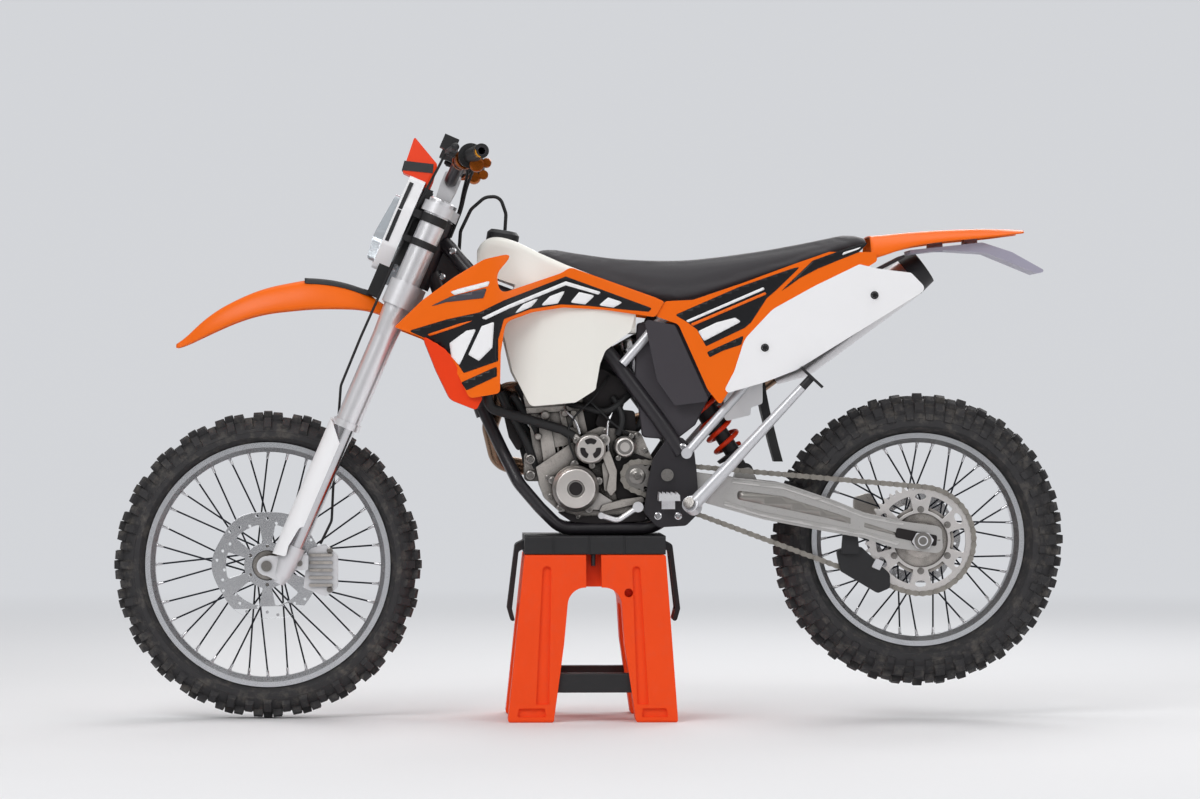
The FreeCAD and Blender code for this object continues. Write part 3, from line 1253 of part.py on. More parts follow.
def above_seat_line(shift):
    """All the space above the parting line between the seat and what carries it."""
    line = [(x, z + shift, radius) for x, z, radius in SEAT_LINE]
    return prism("side", line + [(line[-1][0], 1300, 0), (line[0][0], 1300, 0)], -250, 250)


def seat():
    """The long narrow seat, parted from the tank and the panels along one line."""
    sections = [cross_section(x, low, half_low, high, half_high, 4, 9)
                for x, low, half_low, high, half_high in SEAT_SECTIONS]
    return lofted(sections).common(above_seat_line(0))


# Body panels

SHROUD_OUTLINE = [(-446, 889, 3), (-383, 949, 60), (-312, 1000, 80), (-245, 1040, 60), (-176, 1056, 10),
                  (-216, 1008, 30), (-210, 962, 20), (-69, 1011, 60), (-50, 1022, 20), (142, 953, 10), (162, 944, 4),
                  (143, 912, 10), (27, 928, 80), (-66, 933, 80), (-135, 922, 60), (-196, 900, 30), (-207, 830, 60),
                  (-209, 740, 12), (-277, 728, 14), (-304, 783, 60), (-335, 834, 60), (-386, 866, 40)]
SHROUD_WALL = 3.0
SHROUD_LOW_PLAN = [(-460, -150), (-380, -172), (-290, -214), (-200, -222), (-120, -176), (0, -157), (170, -124)]
SHROUD_HIGH_PLAN = [(-460, -150), (-380, -168), (-290, -204), (-200, -196), (-120, -160), (0, -150), (170, -122)]
LOUVRE_OUTLINE = [(-384, 871, 6), (-330, 838, 30), (-300, 790, 30), (-266, 736, 10), (-246, 732, 6), (-262, 702, 8),
                  (-320, 725, 30), (-352, 791, 40)]


def shroud_slab(shift, thickness):
    """The wall that the left shroud is cut from, moved out by shift."""
    low = [(x, y - shift) for x, y in SHROUD_LOW_PLAN]
    high = [(x, y - shift) for x, y in SHROUD_HIGH_PLAN]
    return leaning_slab(700, low, 1070, high, thickness, 90)


def radiator_shrouds():
    """The large shrouds outside the radiators, and the louvre frames in front of them."""
    skin = prism("side", SHROUD_OUTLINE, -260, -90).common(shroud_slab(0, SHROUD_WALL))
    boss = rod(V(-268, -260, 890), V(-268, -RADIATOR_OUTER_Y - SEAT_GAP, 890), 8).common(shroud_slab(0, 60))
    louvre = prism("side", LOUVRE_OUTLINE, -206, -116)
    louvre = louvre.cut(prism("side", RADIATOR_OUTLINE, -RADIATOR_OUTER_Y - SEAT_GAP, -RADIATOR_INNER_Y))
    room = prism("side", SHROUD_OUTLINE, -260, -90).common(shroud_slab(SEAT_GAP, SHROUD_WALL + 2 * SEAT_GAP))
    return Part.makeCompound([both_sides(fused(skin, boss)), both_sides(louvre.cut(room))])


SIDE_PANEL_OUTLINE = [(144, 914, 6), (166, 948, 10), (229, 951, 30), (343, 990, 60), (457, 1032, 60), (560, 1068, 60),
                      (636, 1092, 8), (648, 1040, 10), (606, 1014, 20), (503, 964, 60), (414, 912, 60), (362, 866, 40),
                      (332, 800, 60), (314, 752, 20), (290, 713, 6), (262, 748, 20), (196, 896, 20)]
NUMBER_PANEL_OUTLINE = [(294, 737, 8), (322, 790, 40), (345, 862, 60), (409, 930, 60), (503, 982, 60), (606, 1032, 10),
                        (650, 1022, 10), (724, 1013, 10), (760, 976, 12), (461, 792, 40), (388, 764, 40)]
PANEL_WALL = 3.0
PANEL_BOSS = V(262, -84, 940)
PANEL_LOW_PLAN = [(130, -128), (300, -134), (420, -140), (560, -146), (780, -142)]
PANEL_HIGH_PLAN = [(130, -118), (300, -119), (420, -120), (560, -122), (780, -112)]


def side_slab(shift, thickness):
    """The wall that the side and number panels are cut from, moved out by shift."""
    low = [(x, y - shift) for x, y in PANEL_LOW_PLAN]
    high = [(x, y - shift) for x, y in PANEL_HIGH_PLAN]
    return leaning_slab(700, low, 1060, high, thickness, 120)


def right_clearance():
    """The space round the exhaust that the right panels leave open."""
    return fused(header(8), silencer(6))


def rear_side_panels():
    """The orange panels beside the airbox."""
    skin = prism("side", SIDE_PANEL_OUTLINE, -170, -90).common(side_slab(0, PANEL_WALL))
    boss = rod(PANEL_BOSS - ALONG_Y * 80, PANEL_BOSS, 6).common(side_slab(0, 60))
    left = fused(skin, lowest_y_solid(boss.cut(subframe_tube(SUBFRAME_TOP, SEAT_GAP))))
    right = mirrored(left).cut(right_clearance())
    return Part.makeCompound([left, biggest_solid(right)])


def number_panels():
    """The white panels under the seat, the right one cut away round the silencer."""
    left = prism("side", NUMBER_PANEL_OUTLINE, -170, -90).common(side_slab(PANEL_WALL + SEAT_GAP, PANEL_WALL))
    right = mirrored(left).cut(right_clearance())
    return Part.makeCompound([left, biggest_solid(right)])


def biggest_solid(shape):
    """The main body of a piece that a cut has divided."""
    return max(shape.Solids, key=lambda solid: solid.Volume)


AIRBOX_FRONT = 300.0
AIRBOX_OUTLINE = [(AIRBOX_FRONT, 790, 12), (AIRBOX_FRONT, 944, 12), (420, 972, 12), (520, 984, 12), (520, 900, 20), (430, 780, 20),
                  (330, 752, 12)]
AIRBOX_COVER_OUTLINE = [(118, 908, 8), (188, 894, 10), (256, 744, 20), (266, 722, 8), (188, 712, 8), (148, 768, 20)]


def airbox():
    """The airbox behind the shock, and the black covers in front of the side panels."""
    body = prism("side", AIRBOX_OUTLINE, -70, 70)
    boss = rod(V(140, -122, 886), V(140, -88, 886), 6).cut(subframe_tube(SUBFRAME_TOP, SEAT_GAP))
    cover = fused(prism("side", AIRBOX_COVER_OUTLINE, -124, -121), lowest_y_solid(boss))
    right_cover = biggest_solid(mirrored(cover).cut(header(8)))
    return Part.makeCompound([body, cover, right_cover, rear_mudguard()])


REAR_FENDER_STATIONS = [(634, 1042, 112, 1098, 84), (724, 1074, 104, 1107, 78), (807, 1086, 96, 1113, 71),
                        (896, 1094, 88, 1116, 66), (960, 1102, 84, 1114, 62), (986, 1108, 78, 1112, 58)]


def rear_fender():
    """The rear fender, an arch behind the seat, with a tongue on the subframe's rear cross tube."""
    arch = lofted([arch_section(*station) for station in REAR_FENDER_STATIONS])
    foot = CROSS_REAR.z + CROSS_RADIUS + SEAT_GAP
    tongue = prism("side", [(CROSS_REAR.x - 14, foot, 0), (CROSS_REAR.x + 16, foot, 8), (700, 1094, 6), (700, 1104, 0),
                            (CROSS_REAR.x + 60, foot + 34, 20), (CROSS_REAR.x - 14, foot + 7, 0)], -56, 56)
    return fused(arch, tongue)


BRACKET_OUTLINE = [(730, 1058, 10), (802, 1066, 20), (902, 1060, 20), (1017, 1013, 4), (1039, 1018, 4),
                   (960, 1062, 20), (892, 1084, 20), (802, 1074, 20), (724, 1066, 6)]


BRACKET_HOLE_X = 965.0
BRACKET_HOLE_Y = 30.0
BRACKET_HOLE_RADIUS = 3.0


def bracket_bosses():
    """The two bosses that carry the plate bracket under the rear fender."""
    fender = moved(rear_fender(), V(0, 0, -SEAT_GAP))
    bosses = []
    for x in (790, 870):
        boss = prism("side", [(x - 16, 1064), (x + 16, 1064), (x + 12, 1150), (x - 12, 1150)], -30, 30)
        bosses.append(lowest_solid(boss.cut(fender)))
    return Part.makeCompound(bosses)


def plate_bracket():
    """The number plate bracket under the rear fender, with two bolt holes."""
    bracket = fused(prism("side", BRACKET_OUTLINE, -66, 66), bracket_bosses())
    for side in (-1, 1):
        foot = V(BRACKET_HOLE_X, side * BRACKET_HOLE_Y, 1000)
        bracket = bracket.cut(rod(foot, foot + V(0, 0, 100), BRACKET_HOLE_RADIUS))
    return bracket


def rear_mudguard():
    """The black inner guard between the airbox and the rear fender."""
    outline = [(523, 985, 4), (523, 905, 4), (470, 826, 10), (476, 822, 4), (530, 900, 10), (640, 1010, 30),
               (716, 1050, 4), (714, 1056, 4), (640, 1018, 30), (560, 986, 4)]
    return prism("side", outline, -66, 66)


CHAIN_GUIDE_OUTLINE = [(556, 386, 10), (612, 392, 10), (678, 330, 14), (678, 298, 10), (650, 286, 10), (566, 336, 14)]


def chain_guide():
    """The plastic guide round the lower run of the chain, hung from the swingarm."""
    block = prism("side", follow_axle(CHAIN_GUIDE_OUTLINE), CHAIN_Y - 16, CHAIN_Y + 12)
    passage = belt_face(CHAIN_HEIGHT + 2, CHAIN_Y - 10).extrude(V(0, 20, 0))
    passage = passage.cut(belt_face(-CHAIN_HEIGHT - 2, CHAIN_Y - 10.5).extrude(V(0, 21, 0)))
    sprocket_room = rod(REAR_AXLE + ALONG_Y * (CHAIN_Y - 8), REAR_AXLE + ALONG_Y * (CHAIN_Y + 13), 136)
    hanger = prism("side", follow_axle([(566, 376, 4), (608, 376, 4), (600, 450, 0), (572, 450, 0)]),
                   CHAIN_Y - 26, CHAIN_Y - 13)
    hanger = lowest_solid(hanger.cut(arm_side(SEAT_GAP)))
    return fused(block.cut(passage).cut(sprocket_room), hanger)


def rear_brake_caliper():
    """The rear caliper and its bracket, ahead of the right end of the axle."""
    body = prism("side", follow_axle([(610, 430, 8), (612, 500, 12), (650, 512, 12), (668, 480, 10), (660, 440, 10)]),
                 70, ARM_INNER_Y - SEAT_GAP)
    slot = rod(REAR_AXLE + ALONG_Y * (REAR_DISC_Y - 3.5), REAR_AXLE + ALONG_Y * (REAR_DISC_Y + 3.5),
               REAR_DISC_RADIUS + 5)
    return body.cut(slot)


# Foot controls and stands

PEG_BACK = 172.0
PEG_TOP = 518.0
PEG_TEETH = 5


def footpegs():
    """The wide footpegs on their brackets: open frames with teeth along both edges."""
    inner = -PLATE_OUTER_Y - SEAT_GAP
    bracket = Part.makeBox(30, 14, 34, V(PEG_BACK - 14, inner - 14, 478))
    top = [(PEG_BACK - 24, PEG_TOP - 8)]
    for tooth in range(PEG_TEETH):
        start = PEG_BACK - 24 + tooth * 48 / PEG_TEETH
        top += [(start + 2, PEG_TOP), (start + 48 / PEG_TEETH - 1, PEG_TOP - 7)]
    outline = top + [(PEG_BACK + 24, PEG_TOP - 20), (PEG_BACK - 24, PEG_TOP - 20)]
    peg = prism("side", outline, inner - 90, inner - 12)
    opening = Part.makeBox(30, 56, 60, V(PEG_BACK - 15, inner - 80, PEG_TOP - 40))
    return both_sides(fused(bracket, peg.cut(opening)))


SHIFT_PIVOT = V(104, 0, 483)
SHIFT_PAD = V(20, 0, 464)
SHIFT_Y = -132.0


def shift_lever():
    """The gear lever on the left."""
    out = ALONG_Y * SHIFT_Y
    points = [SHIFT_PIVOT + out, V(58, SHIFT_Y - 4, 452), SHIFT_PAD + out - ALONG_Y * 8]
    shaft = rod(SHIFT_PIVOT + out - ALONG_Y * 6, SHIFT_PIVOT + ALONG_Y * (CASE_LEFT - SEAT_GAP), 7)
    eye = rod(SHIFT_PIVOT + out - ALONG_Y * 7, SHIFT_PIVOT + out + ALONG_Y * 8, 12)
    pad = rod(SHIFT_PAD + out - ALONG_Y * 4, SHIFT_PAD + out - ALONG_Y * 34, 7)
    return fused(shaft, eye, tube(points, 6, 20), pad)


def brake_pedal():
    """The brake pedal on the right."""
    points = [V(168, 128, 458), V(100, 138, 440), V(0, 146, 466), V(-40, 150, 470)]
    pedal = tube(points, 7, 30)
    pad = Part.makeBox(30, 34, 8, V(-54, 134, 472))
    boss = rod(V(168, PLATE_OUTER_Y + SEAT_GAP, 458), V(168, 136, 458), 11)
    return fused(pedal, pad, boss)


def foot_controls():
    """The gear lever and the brake pedal."""
    return Part.makeCompound([shift_lever(), brake_pedal()])


def throttle_body():
    """The throttle body and intake boot, from the head back to the airbox."""
    points = [V(-18 + SEAT_GAP, 0, 764), V(30, 0, 764), V(70, 22, 786), V(150, 60, 812), V(236, 46, 846),
              V(AIRBOX_FRONT - SEAT_GAP, 46, 846)]
    boot = tube(points, 22, 60)
    return boot.cut(rod(V(128, -93, 713), V(128, 93, 713), 12))


# Hoses

HOSE_RADIUS = 11.0
BREATHER_RADIUS = 4.0
BREATHER_POINTS = [V(-197, 0, 1070), V(-192, 0, 1150), V(-206, 0, 1190), V(-240, 0, 1188), V(-272, 0, 1160),
                   V(-296, 0, 1110), V(-302, 0, 1020)]
BRAKE_HOSE_RADIUS = 3.0
BRAKE_HOSE_POINTS = [(-56, -212, 1030), (-58, -200, 985), (-64, -130, 935), (-68, -96, 880), (-68, -94, 720),
                     (-70, -90, 560), (-68, -82, 440), (-44, -62, 370), (0, -62, 240), (34, -64, 150)]


def coolant_hoses():
    """The hoses from the left radiator's foot to the pump."""
    start = V(-236, -118, 742 - SEAT_GAP)
    end = PUMP_STUB + PUMP_STUB_AXIS * (16 + SEAT_GAP)
    points = [start, V(-232, -114, 706), V(-176, -100, 690), end + PUMP_STUB_AXIS * 30, end]
    return tube(points, HOSE_RADIUS, 34)


def breather_hose():
    """The tank's breather hose, from the cap over to the frame's head."""
    hose = tube(BREATHER_POINTS, BREATHER_RADIUS, 30)
    hose = hose.cut(turned([(0, -20), (CAP_RADIUS, -20), (CAP_RADIUS, CAP_HEIGHT + SEAT_GAP),
                            (0, CAP_HEIGHT + SEAT_GAP)], CAP_CENTRE, CAP_AXIS))
    return biggest_solid(hose.cut(moved(head_gusset(), V(0, 0, SEAT_GAP))))


def front_brake_hose():
    """The front brake hose, from the hand control down in front of the left fork leg to the caliper."""
    points = [steer_point(*place) for place in BRAKE_HOSE_POINTS] + [V(-614, -66, 398 + SEAT_GAP)]
    hose = tube(points, BRAKE_HOSE_RADIUS, 30)
    start, along = grip_frame()
    perch_at = start - along * 42
    tank = Part.makeBox(34 + 2 * SEAT_GAP, 52 + 2 * SEAT_GAP, 32 + 2 * SEAT_GAP,
                        perch_at + V(-LEVER_GAP - 20 - SEAT_GAP, -6 - SEAT_GAP, -2 - SEAT_GAP))
    return biggest_solid(hose.cut(steer(tank)))


HANDLE_HALF = 50.0
HANDLE_BAR = 14.0
STAND_PLATE = 42.0
HANDLE_FOOT = STAND_HEIGHT - 196
CHANNEL_DEPTH = 8.0


def stand_handle(edge, side, low):
    """A handle loop that hangs from one end of the top plate."""
    points = [(0, low + 10, 0), (0, low + 30, 0), (20, low + 20, 10), (38, HANDLE_FOOT + 28, 12),
              (30, HANDLE_FOOT, 10), (20, HANDLE_FOOT, 8), (27, HANDLE_FOOT + 28, 10), (12, low + 4, 8)]
    strap = prism("side", [(edge + side * x, z, radius) for x, z, radius in points], -HANDLE_HALF, HANDLE_HALF)
    inner = HANDLE_HALF - HANDLE_BAR
    window = prism("front", [(-inner, HANDLE_FOOT + 24, 10), (inner, HANDLE_FOOT + 24, 10), (inner, low - 8, 10),
                             (-inner, low - 8, 10)], edge - 60, edge + 60)
    return strap.cut(window)


def stand_profile():
    """The side view of the lift stand's moulded body."""
    top = STAND_HEIGHT - STAND_PLATE
    arch = top - 74
    return [(-191, 0, 6), (-152, top, 6), (166, top, 6), (192, 0, 6), (98, 0, 6), (72, 0.42 * STAND_HEIGHT, 20),
            (64, arch, 40), (-52, arch, 40), (-64, 0.42 * STAND_HEIGHT, 20), (-88, 0, 6)]


def stand_cross(inset):
    """The front view of the stand's body, moved in by inset at its outer walls."""
    top = STAND_HEIGHT - STAND_PLATE
    return [(-190 + inset, 0, 6), (-150 + inset, top, 6), (150 - inset, top, 6), (190 - inset, 0, 6), (110, 0, 6),
            (90, top - 116, 40), (-90, top - 116, 40), (-110, 0, 6)]


def lift_stand_legs():
    """The moulded legs of the lift stand: open in the middle both ways, with sunk channels in their outer walls."""
    top = STAND_HEIGHT - STAND_PLATE
    body = prism("side", stand_profile(), -200, 200).common(prism("front", stand_cross(0), -200, 200))
    keep = prism("front", [(-190 + CHANNEL_DEPTH, -1), (-150 + CHANNEL_DEPTH, top + 1), (150 - CHANNEL_DEPTH, top + 1),
                           (190 - CHANNEL_DEPTH, -1)], -210, 210)
    channels = [[(-128, 40, 4), (-112, top - 26, 10), (-92, top - 26, 10), (-98, 40, 4)],
                [(126, 40, 4), (108, top - 26, 10), (90, top - 26, 10), (100, 40, 4)],
                [(-170, 12, 4), (-166, 32, 4), (-108, 32, 4), (-104, 12, 4)],
                [(170, 12, 4), (166, 32, 4), (112, 32, 4), (110, 12, 4)]]
    for outline in channels:
        body = body.cut(prism("side", outline, -210, 210).cut(keep))
    notch = [(-14, top - 90), (22, top - 90), (20, top + 1), (-14, top + 1)]
    for side in (-1, 1):
        low, high = sorted((side * 100, side * 210))
        body = body.cut(prism("side", notch, low, high))
        body = body.cut(rod(V(82, side * 130, top - 86), V(82, side * 210, top - 86), 10))
    return body


def lift_stand_top():
    """The black top plate with studs under it, a handle loop at each end, and the two bars between the legs."""
    low = STAND_HEIGHT - STAND_PLATE + SEAT_GAP
    plate = prism("front", [(-150, low, 4), (-150, STAND_HEIGHT, 4), (150, STAND_HEIGHT, 4), (150, low, 4)], -152, 166)
    for x in (-90, -10, 70):
        for side in (-1, 1):
            rib = Part.makeBox(6, 4, STAND_PLATE, V(x, side * 150 - 2, low))
            plate = plate.cut(rib)
    studs = [rod(V(3, side * y, low - 26), V(3, side * y, low + 2), 5) for side in (-1, 1) for y in (118, 136)]
    whole = fused(plate, stand_handle(-152, -1, low), stand_handle(166, 1, low), *studs)
    legs = prism("side", stand_profile(), -200, 200)
    bars = []
    for side in (-1, 1):
        outline = [(side * 172, 66, 4), (side * 168, 110, 4), (side * 140, 110, 4), (side * 144, 66, 4)]
        bars.append(prism("front", outline, -100, 100).cut(legs))
    return Part.makeCompound([whole] + bars)


STAND_PIVOT = V(226, -140, 486)
STAND_TIP = V(498, -156, 779)
STAND_AXIS = V(0.401, 0.856, -0.326).normalize()
STAND_BOLT_RADIUS = 8.0
SIDE_STAND_RADIUS = 12.0


def side_stand():
    """The side stand, folded up along the left side, with its eye and its foot plate."""
    axis = STAND_TIP - STAND_PIVOT
    axis.normalize()
    length = (STAND_TIP - STAND_PIVOT).Length
    leg = turned([(0, 8), (16, 8), (15, 60), (SIDE_STAND_RADIUS, 200), (9, length - 6), (0, length - 6)], STAND_PIVOT, axis)
    eye = rod(STAND_PIVOT - STAND_AXIS * 14, STAND_PIVOT + STAND_AXIS * 14, 19)
    plate = Part.makeBox(66, 30, 6, V(-33, -15, -3))
    plate.Placement = FreeCAD.Placement(STAND_TIP - axis * 4, FreeCAD.Rotation(V(0, 0, 1), axis))
    bore = rod(STAND_PIVOT - STAND_AXIS * 30, STAND_PIVOT + STAND_AXIS * 30, STAND_BOLT_RADIUS + SHAFT_FIT)
    return fused(leg, eye, plate).cut(bore)


def side_stand_bolt():
    """The bolt that carries the side stand on the left frame plate."""
    bolt = rod(STAND_PIVOT - STAND_AXIS * 24, STAND_PIVOT + STAND_AXIS * 60, STAND_BOLT_RADIUS)
    head = rod(STAND_PIVOT - STAND_AXIS * 24, STAND_PIVOT - STAND_AXIS * 19, 13)
    inside = prism("side", [(0, 300), (500, 300), (500, 800), (0, 800)], -PLATE_OUTER_Y - SEAT_GAP, 0)
    return fused(bolt, head).cut(inside)


def frame_bolts():
    """The swingarm pivot bolt and the bolt that the side stand turns on."""
    return Part.makeCompound([pivot_bolt(), side_stand_bolt()])


NODES = {
    "front_tyre": lambda: tyre(FRONT_AXLE, FRONT_TYRE_RADIUS, FRONT_TYRE_HALF, FRONT_RIM_RADIUS, FRONT_RIM_HALF,
                               FRONT_PITCHES),
    "front_rim": lambda: rim(FRONT_AXLE, FRONT_RIM_RADIUS, FRONT_RIM_HALF),
    "front_spokes": lambda: spokes(FRONT_AXLE, FRONT_RIM_RADIUS, FRONT_FLANGE_RADIUS, FRONT_FLANGE_Y),
    "front_hub": front_hub,
    "front_disc": lambda: brake_disc(FRONT_AXLE, FRONT_DISC_Y, FRONT_DISC_RADIUS, FRONT_CARRIER),
    "rear_tyre": lambda: tyre(REAR_AXLE, REAR_TYRE_RADIUS, REAR_TYRE_HALF, REAR_RIM_RADIUS, REAR_RIM_HALF,
                              REAR_PITCHES),
    "rear_rim": lambda: rim(REAR_AXLE, REAR_RIM_RADIUS, REAR_RIM_HALF),
    "rear_spokes": lambda: spokes(REAR_AXLE, REAR_RIM_RADIUS, REAR_FLANGE_RADIUS, REAR_FLANGE_Y),
    "rear_hub": rear_hub,
    "rear_sprocket": rear_sprocket,
    "rear_disc": lambda: brake_disc(REAR_AXLE, REAR_DISC_Y, REAR_DISC_RADIUS, REAR_CARRIER),
    "chain": chain,
    "front_sprocket": front_sprocket,
    "fork_outer_tubes": fork_outer_tubes,
    "fork_inner_tubes": fork_inner_tubes,
    "fork_lugs": fork_lugs,
    "fork_guards": fork_guards,
    "front_axle": front_axle,
    "triple_clamps": triple_clamps,
    "handlebar": handlebar,
    "grips": grips,
    "hand_controls": hand_controls,
    "headlight_mask": headlight_mask,
    "headlamp": headlamp,
    "mask_cowl": mask_cowl,
    "front_fender": front_fender,
    "front_caliper": front_caliper,
    "main_frame": main_frame,
    "subframe": subframe,
    "swingarm": swingarm,
    "rear_axle": rear_axle,
    "shock": shock,
    "shock_spring": shock_spring,
    "crankcase": crankcase,
    "cylinder": cylinder,
    "engine_covers": engine_covers,
    "exhaust_header": header,
    "silencer": silencer,
    "radiators": radiators,
    "fuel_tank": fuel_tank,
    "fuel_cap": fuel_cap,
    "seat": seat,
    "radiator_shrouds": radiator_shrouds,
    "rear_side_panels": rear_side_panels,
    "number_panels": number_panels,
    "airbox": airbox,
    "rear_fender": rear_fender,
    "plate_bracket": plate_bracket,
    "chain_guide": chain_guide,
    "rear_brake_caliper": rear_brake_caliper,
    "footpegs": footpegs,
    "foot_controls": foot_controls,
    "throttle_body": throttle_body,
    "coolant_hoses": coolant_hoses,
    "breather_hose": breather_hose,
    "front_brake_hose": front_brake_hose,
    "lift_stand_legs": lift_stand_legs,
    "lift_stand_top": lift_stand_top,
    "side_stand": side_stand,
    "frame_bolts": frame_bolts,
}


def main():
    """Builds every piece, lifts the machine onto its stand and writes each piece to its own file."""
    os.makedirs("parts", exist_ok=True)
    lift = V(0, 0, STAND_HEIGHT - CRADLE_FOOT)
    for name, make in NODES.items():
        shape = make()
        if not name.startswith("lift_stand"):
            shape = moved(shape, lift)
        shape.exportStep(f"parts/{name}.step")


main()
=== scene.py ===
import math

import bmesh
import bpy
from bpy.props import FloatProperty, FloatVectorProperty, IntProperty, PointerProperty
from mathutils import Matrix, Vector


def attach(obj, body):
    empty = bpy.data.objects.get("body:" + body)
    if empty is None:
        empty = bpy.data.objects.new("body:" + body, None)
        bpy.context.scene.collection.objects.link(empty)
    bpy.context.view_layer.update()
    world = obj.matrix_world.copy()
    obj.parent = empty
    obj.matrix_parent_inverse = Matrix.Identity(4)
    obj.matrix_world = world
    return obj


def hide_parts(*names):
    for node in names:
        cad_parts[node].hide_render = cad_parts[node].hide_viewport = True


bl_info = {
    "name": "Enduro Dirt Bike",
    "version": (1, 0, 0),
    "blender": (4, 5, 0),
    "location": "3D View > Sidebar > Dirt Bike",
    "description": "Dresses the CAD frame of an enduro dirt bike on its lift stand",
    "category": "Object",
}

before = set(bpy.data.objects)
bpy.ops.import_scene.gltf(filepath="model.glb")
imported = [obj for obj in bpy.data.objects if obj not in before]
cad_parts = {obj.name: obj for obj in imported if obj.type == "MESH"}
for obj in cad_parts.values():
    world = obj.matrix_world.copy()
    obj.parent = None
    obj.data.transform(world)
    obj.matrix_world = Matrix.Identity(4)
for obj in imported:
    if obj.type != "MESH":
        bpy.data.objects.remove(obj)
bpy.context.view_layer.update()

MM = 0.001
FINISH_END = "_finish"

# Places and sizes of the machine in millimetres, as the CAD source has them
FRONT_AXLE = Vector((-734.0, 0.0, 350.0))
REAR_AXLE = Vector((749.0, 0.0, 406.0))
RAKE = math.radians(23.3)
STEER_AXIS = Vector((math.sin(RAKE), 0.0, math.cos(RAKE)))
STEER_BACK = Vector((math.cos(RAKE), 0.0, -math.sin(RAKE)))
STEER_FOOT = FRONT_AXLE + STEER_BACK * 60.0
DRIVE_CENTRE = Vector((104.0, 0.0, 552.0))
CHAIN_Y = -86.0
CHAIN_PITCH = 15.875
FRONT_TEETH = 13
REAR_TEETH = 48
SHOCK_FOOT = Vector((354.0, 0.0, 562.0))
SHOCK_TOP = Vector((140.0, 0.0, 902.0))
IGNITION = (-36.0, 524.0)
PUMP = (-2.0, 614.0)
STARTER = (76.0, 618.0)
ARM_SIDE_PLAN = [(150, -100), (254, -100), (340, -115), (600, -132), (800, -132)]
SILENCER_CAP = Vector((742.0, 132.0, 1011.0))
SILENCER_AXIS = Vector((350.0, 0.0, 257.0))
STAND_TOE = Vector((474.0, -155.0, 753.0))
STAND_AXIS = Vector((272.0, -16.0, 293.0))
RIGHT = Vector((0.0, 1.0, 0.0))
LEFT = -RIGHT
AFT = Vector((1.0, 0.0, 0.0))
UP = Vector((0.0, 0.0, 1.0))
SQUARE = ((-1, -1), (1, -1), (1, 1), (-1, 1))
ORIGIN = (0.0, 0.0)

# Tyres and rims by radius and half width, hub flanges by radius and place in Y
FRONT_TYRE = (350.0, 45.0)
REAR_TYRE = (335.0, 69.0)
FRONT_RIM = (278.5, 20.0)
REAR_RIM = (243.5, 27.0)
FRONT_FLANGE = (31.0, 27.5)
REAR_FLANGE = (46.0, 34.0)
SPOKES = 36

# The camera and the point it looks at, in metres
CAMERA_X = -0.37
AIM_X = 0.0229
EYE_HEIGHT = 0.7258
SENSOR_WIDTH = 36.0

# Lamps: name, place, height of the point they look at, size, power
LAMPS = (
    ("key", (-2.6, -4.2, 4.4), 0.7, (3.2, 2.2), 136),
    ("fill", (3.8, -4.6, 2.6), 0.6, (2.4, 2.4), 44),
    ("top", (0.3, 0.4, 4.6), 0.6, (4.0, 2.2), 58),
    ("rim", (1.5, 4.2, 3.2), 0.9, (3.4, 1.6), 72),
)


# Colours and settings

def linear(code):
    """A #RRGGBB colour as linear values."""
    values = []
    for start in (1, 3, 5):
        part = int(code[start:start + 2], 16) / 255
        values.append(part / 12.92 if part <= 0.04045 else ((part + 0.055) / 1.055) ** 2.4)
    return tuple(values)


def colour_property(name, description, code):
    """A colour that the user can change in the panel."""
    return FloatVectorProperty(name=name, description=description, subtype="COLOR", size=3, min=0.0, max=1.0,
                               default=linear(code))


def length_property(name, description, default):
    """A length that the user can change in the panel."""
    return FloatProperty(name=name, description=description, default=default, min=0.0, unit="LENGTH",
                         precision=4)


class BikeSettings(bpy.types.PropertyGroup):
    """Sizes and colours of the machine that a user may want to change."""

    orange: colour_property("Orange", "Colour of the orange body plastics", "#F56B05")
    red_orange: colour_property("Red-Orange", "Colour of the louvres and the edges", "#EF3F10")
    white: colour_property("White", "Colour of the white body plastics", "#F5F5F7")
    tank: colour_property("Tank", "Colour of the fuel tank", "#F4F2EB")
    black: colour_property("Black", "Colour of the black plastics and decals", "#1B1B1E")
    stand: colour_property("Stand", "Colour of the lift stand", "#FD4A08")
    seat: colour_property("Seat", "Colour of the seat cover", "#262328")
    spring: colour_property("Spring", "Colour of the shock spring", "#E5380F")
    knob_height: length_property("Knob Height", "How far the knobs stand out of the tyre", 0.013)
    spring_wire: length_property("Spring Wire", "Thickness of the shock spring's wire", 0.011)
    spring_coils: FloatProperty(name="Spring Coils", description="Number of turns of the shock spring",
                                default=6.5, min=3.0, max=12.0)
    front_pitches: IntProperty(name="Front Knob Rows", description="Rows of knobs round the front tyre",
                               default=48, min=12, max=80)
    rear_pitches: IntProperty(name="Rear Knob Rows", description="Rows of knobs round the rear tyre",
                              default=40, min=12, max=80)
    camera_distance: FloatProperty(name="Camera Distance", description="Distance of the camera from the machine",
                                   default=10.8, min=2.0, unit="LENGTH")
    frame_width: FloatProperty(name="Picture Width", description="Width that the picture shows at the machine",
                               default=2.7432, min=0.5, unit="LENGTH")


def settings():
    """The settings of the current scene."""
    return bpy.context.scene.dirt_bike


# Materials

def feed(tree, socket, value):
    """Sets an input, or links it when the value is another node's socket."""
    if isinstance(value, bpy.types.NodeSocket):
        tree.links.new(value, socket)
    else:
        socket.default_value = value


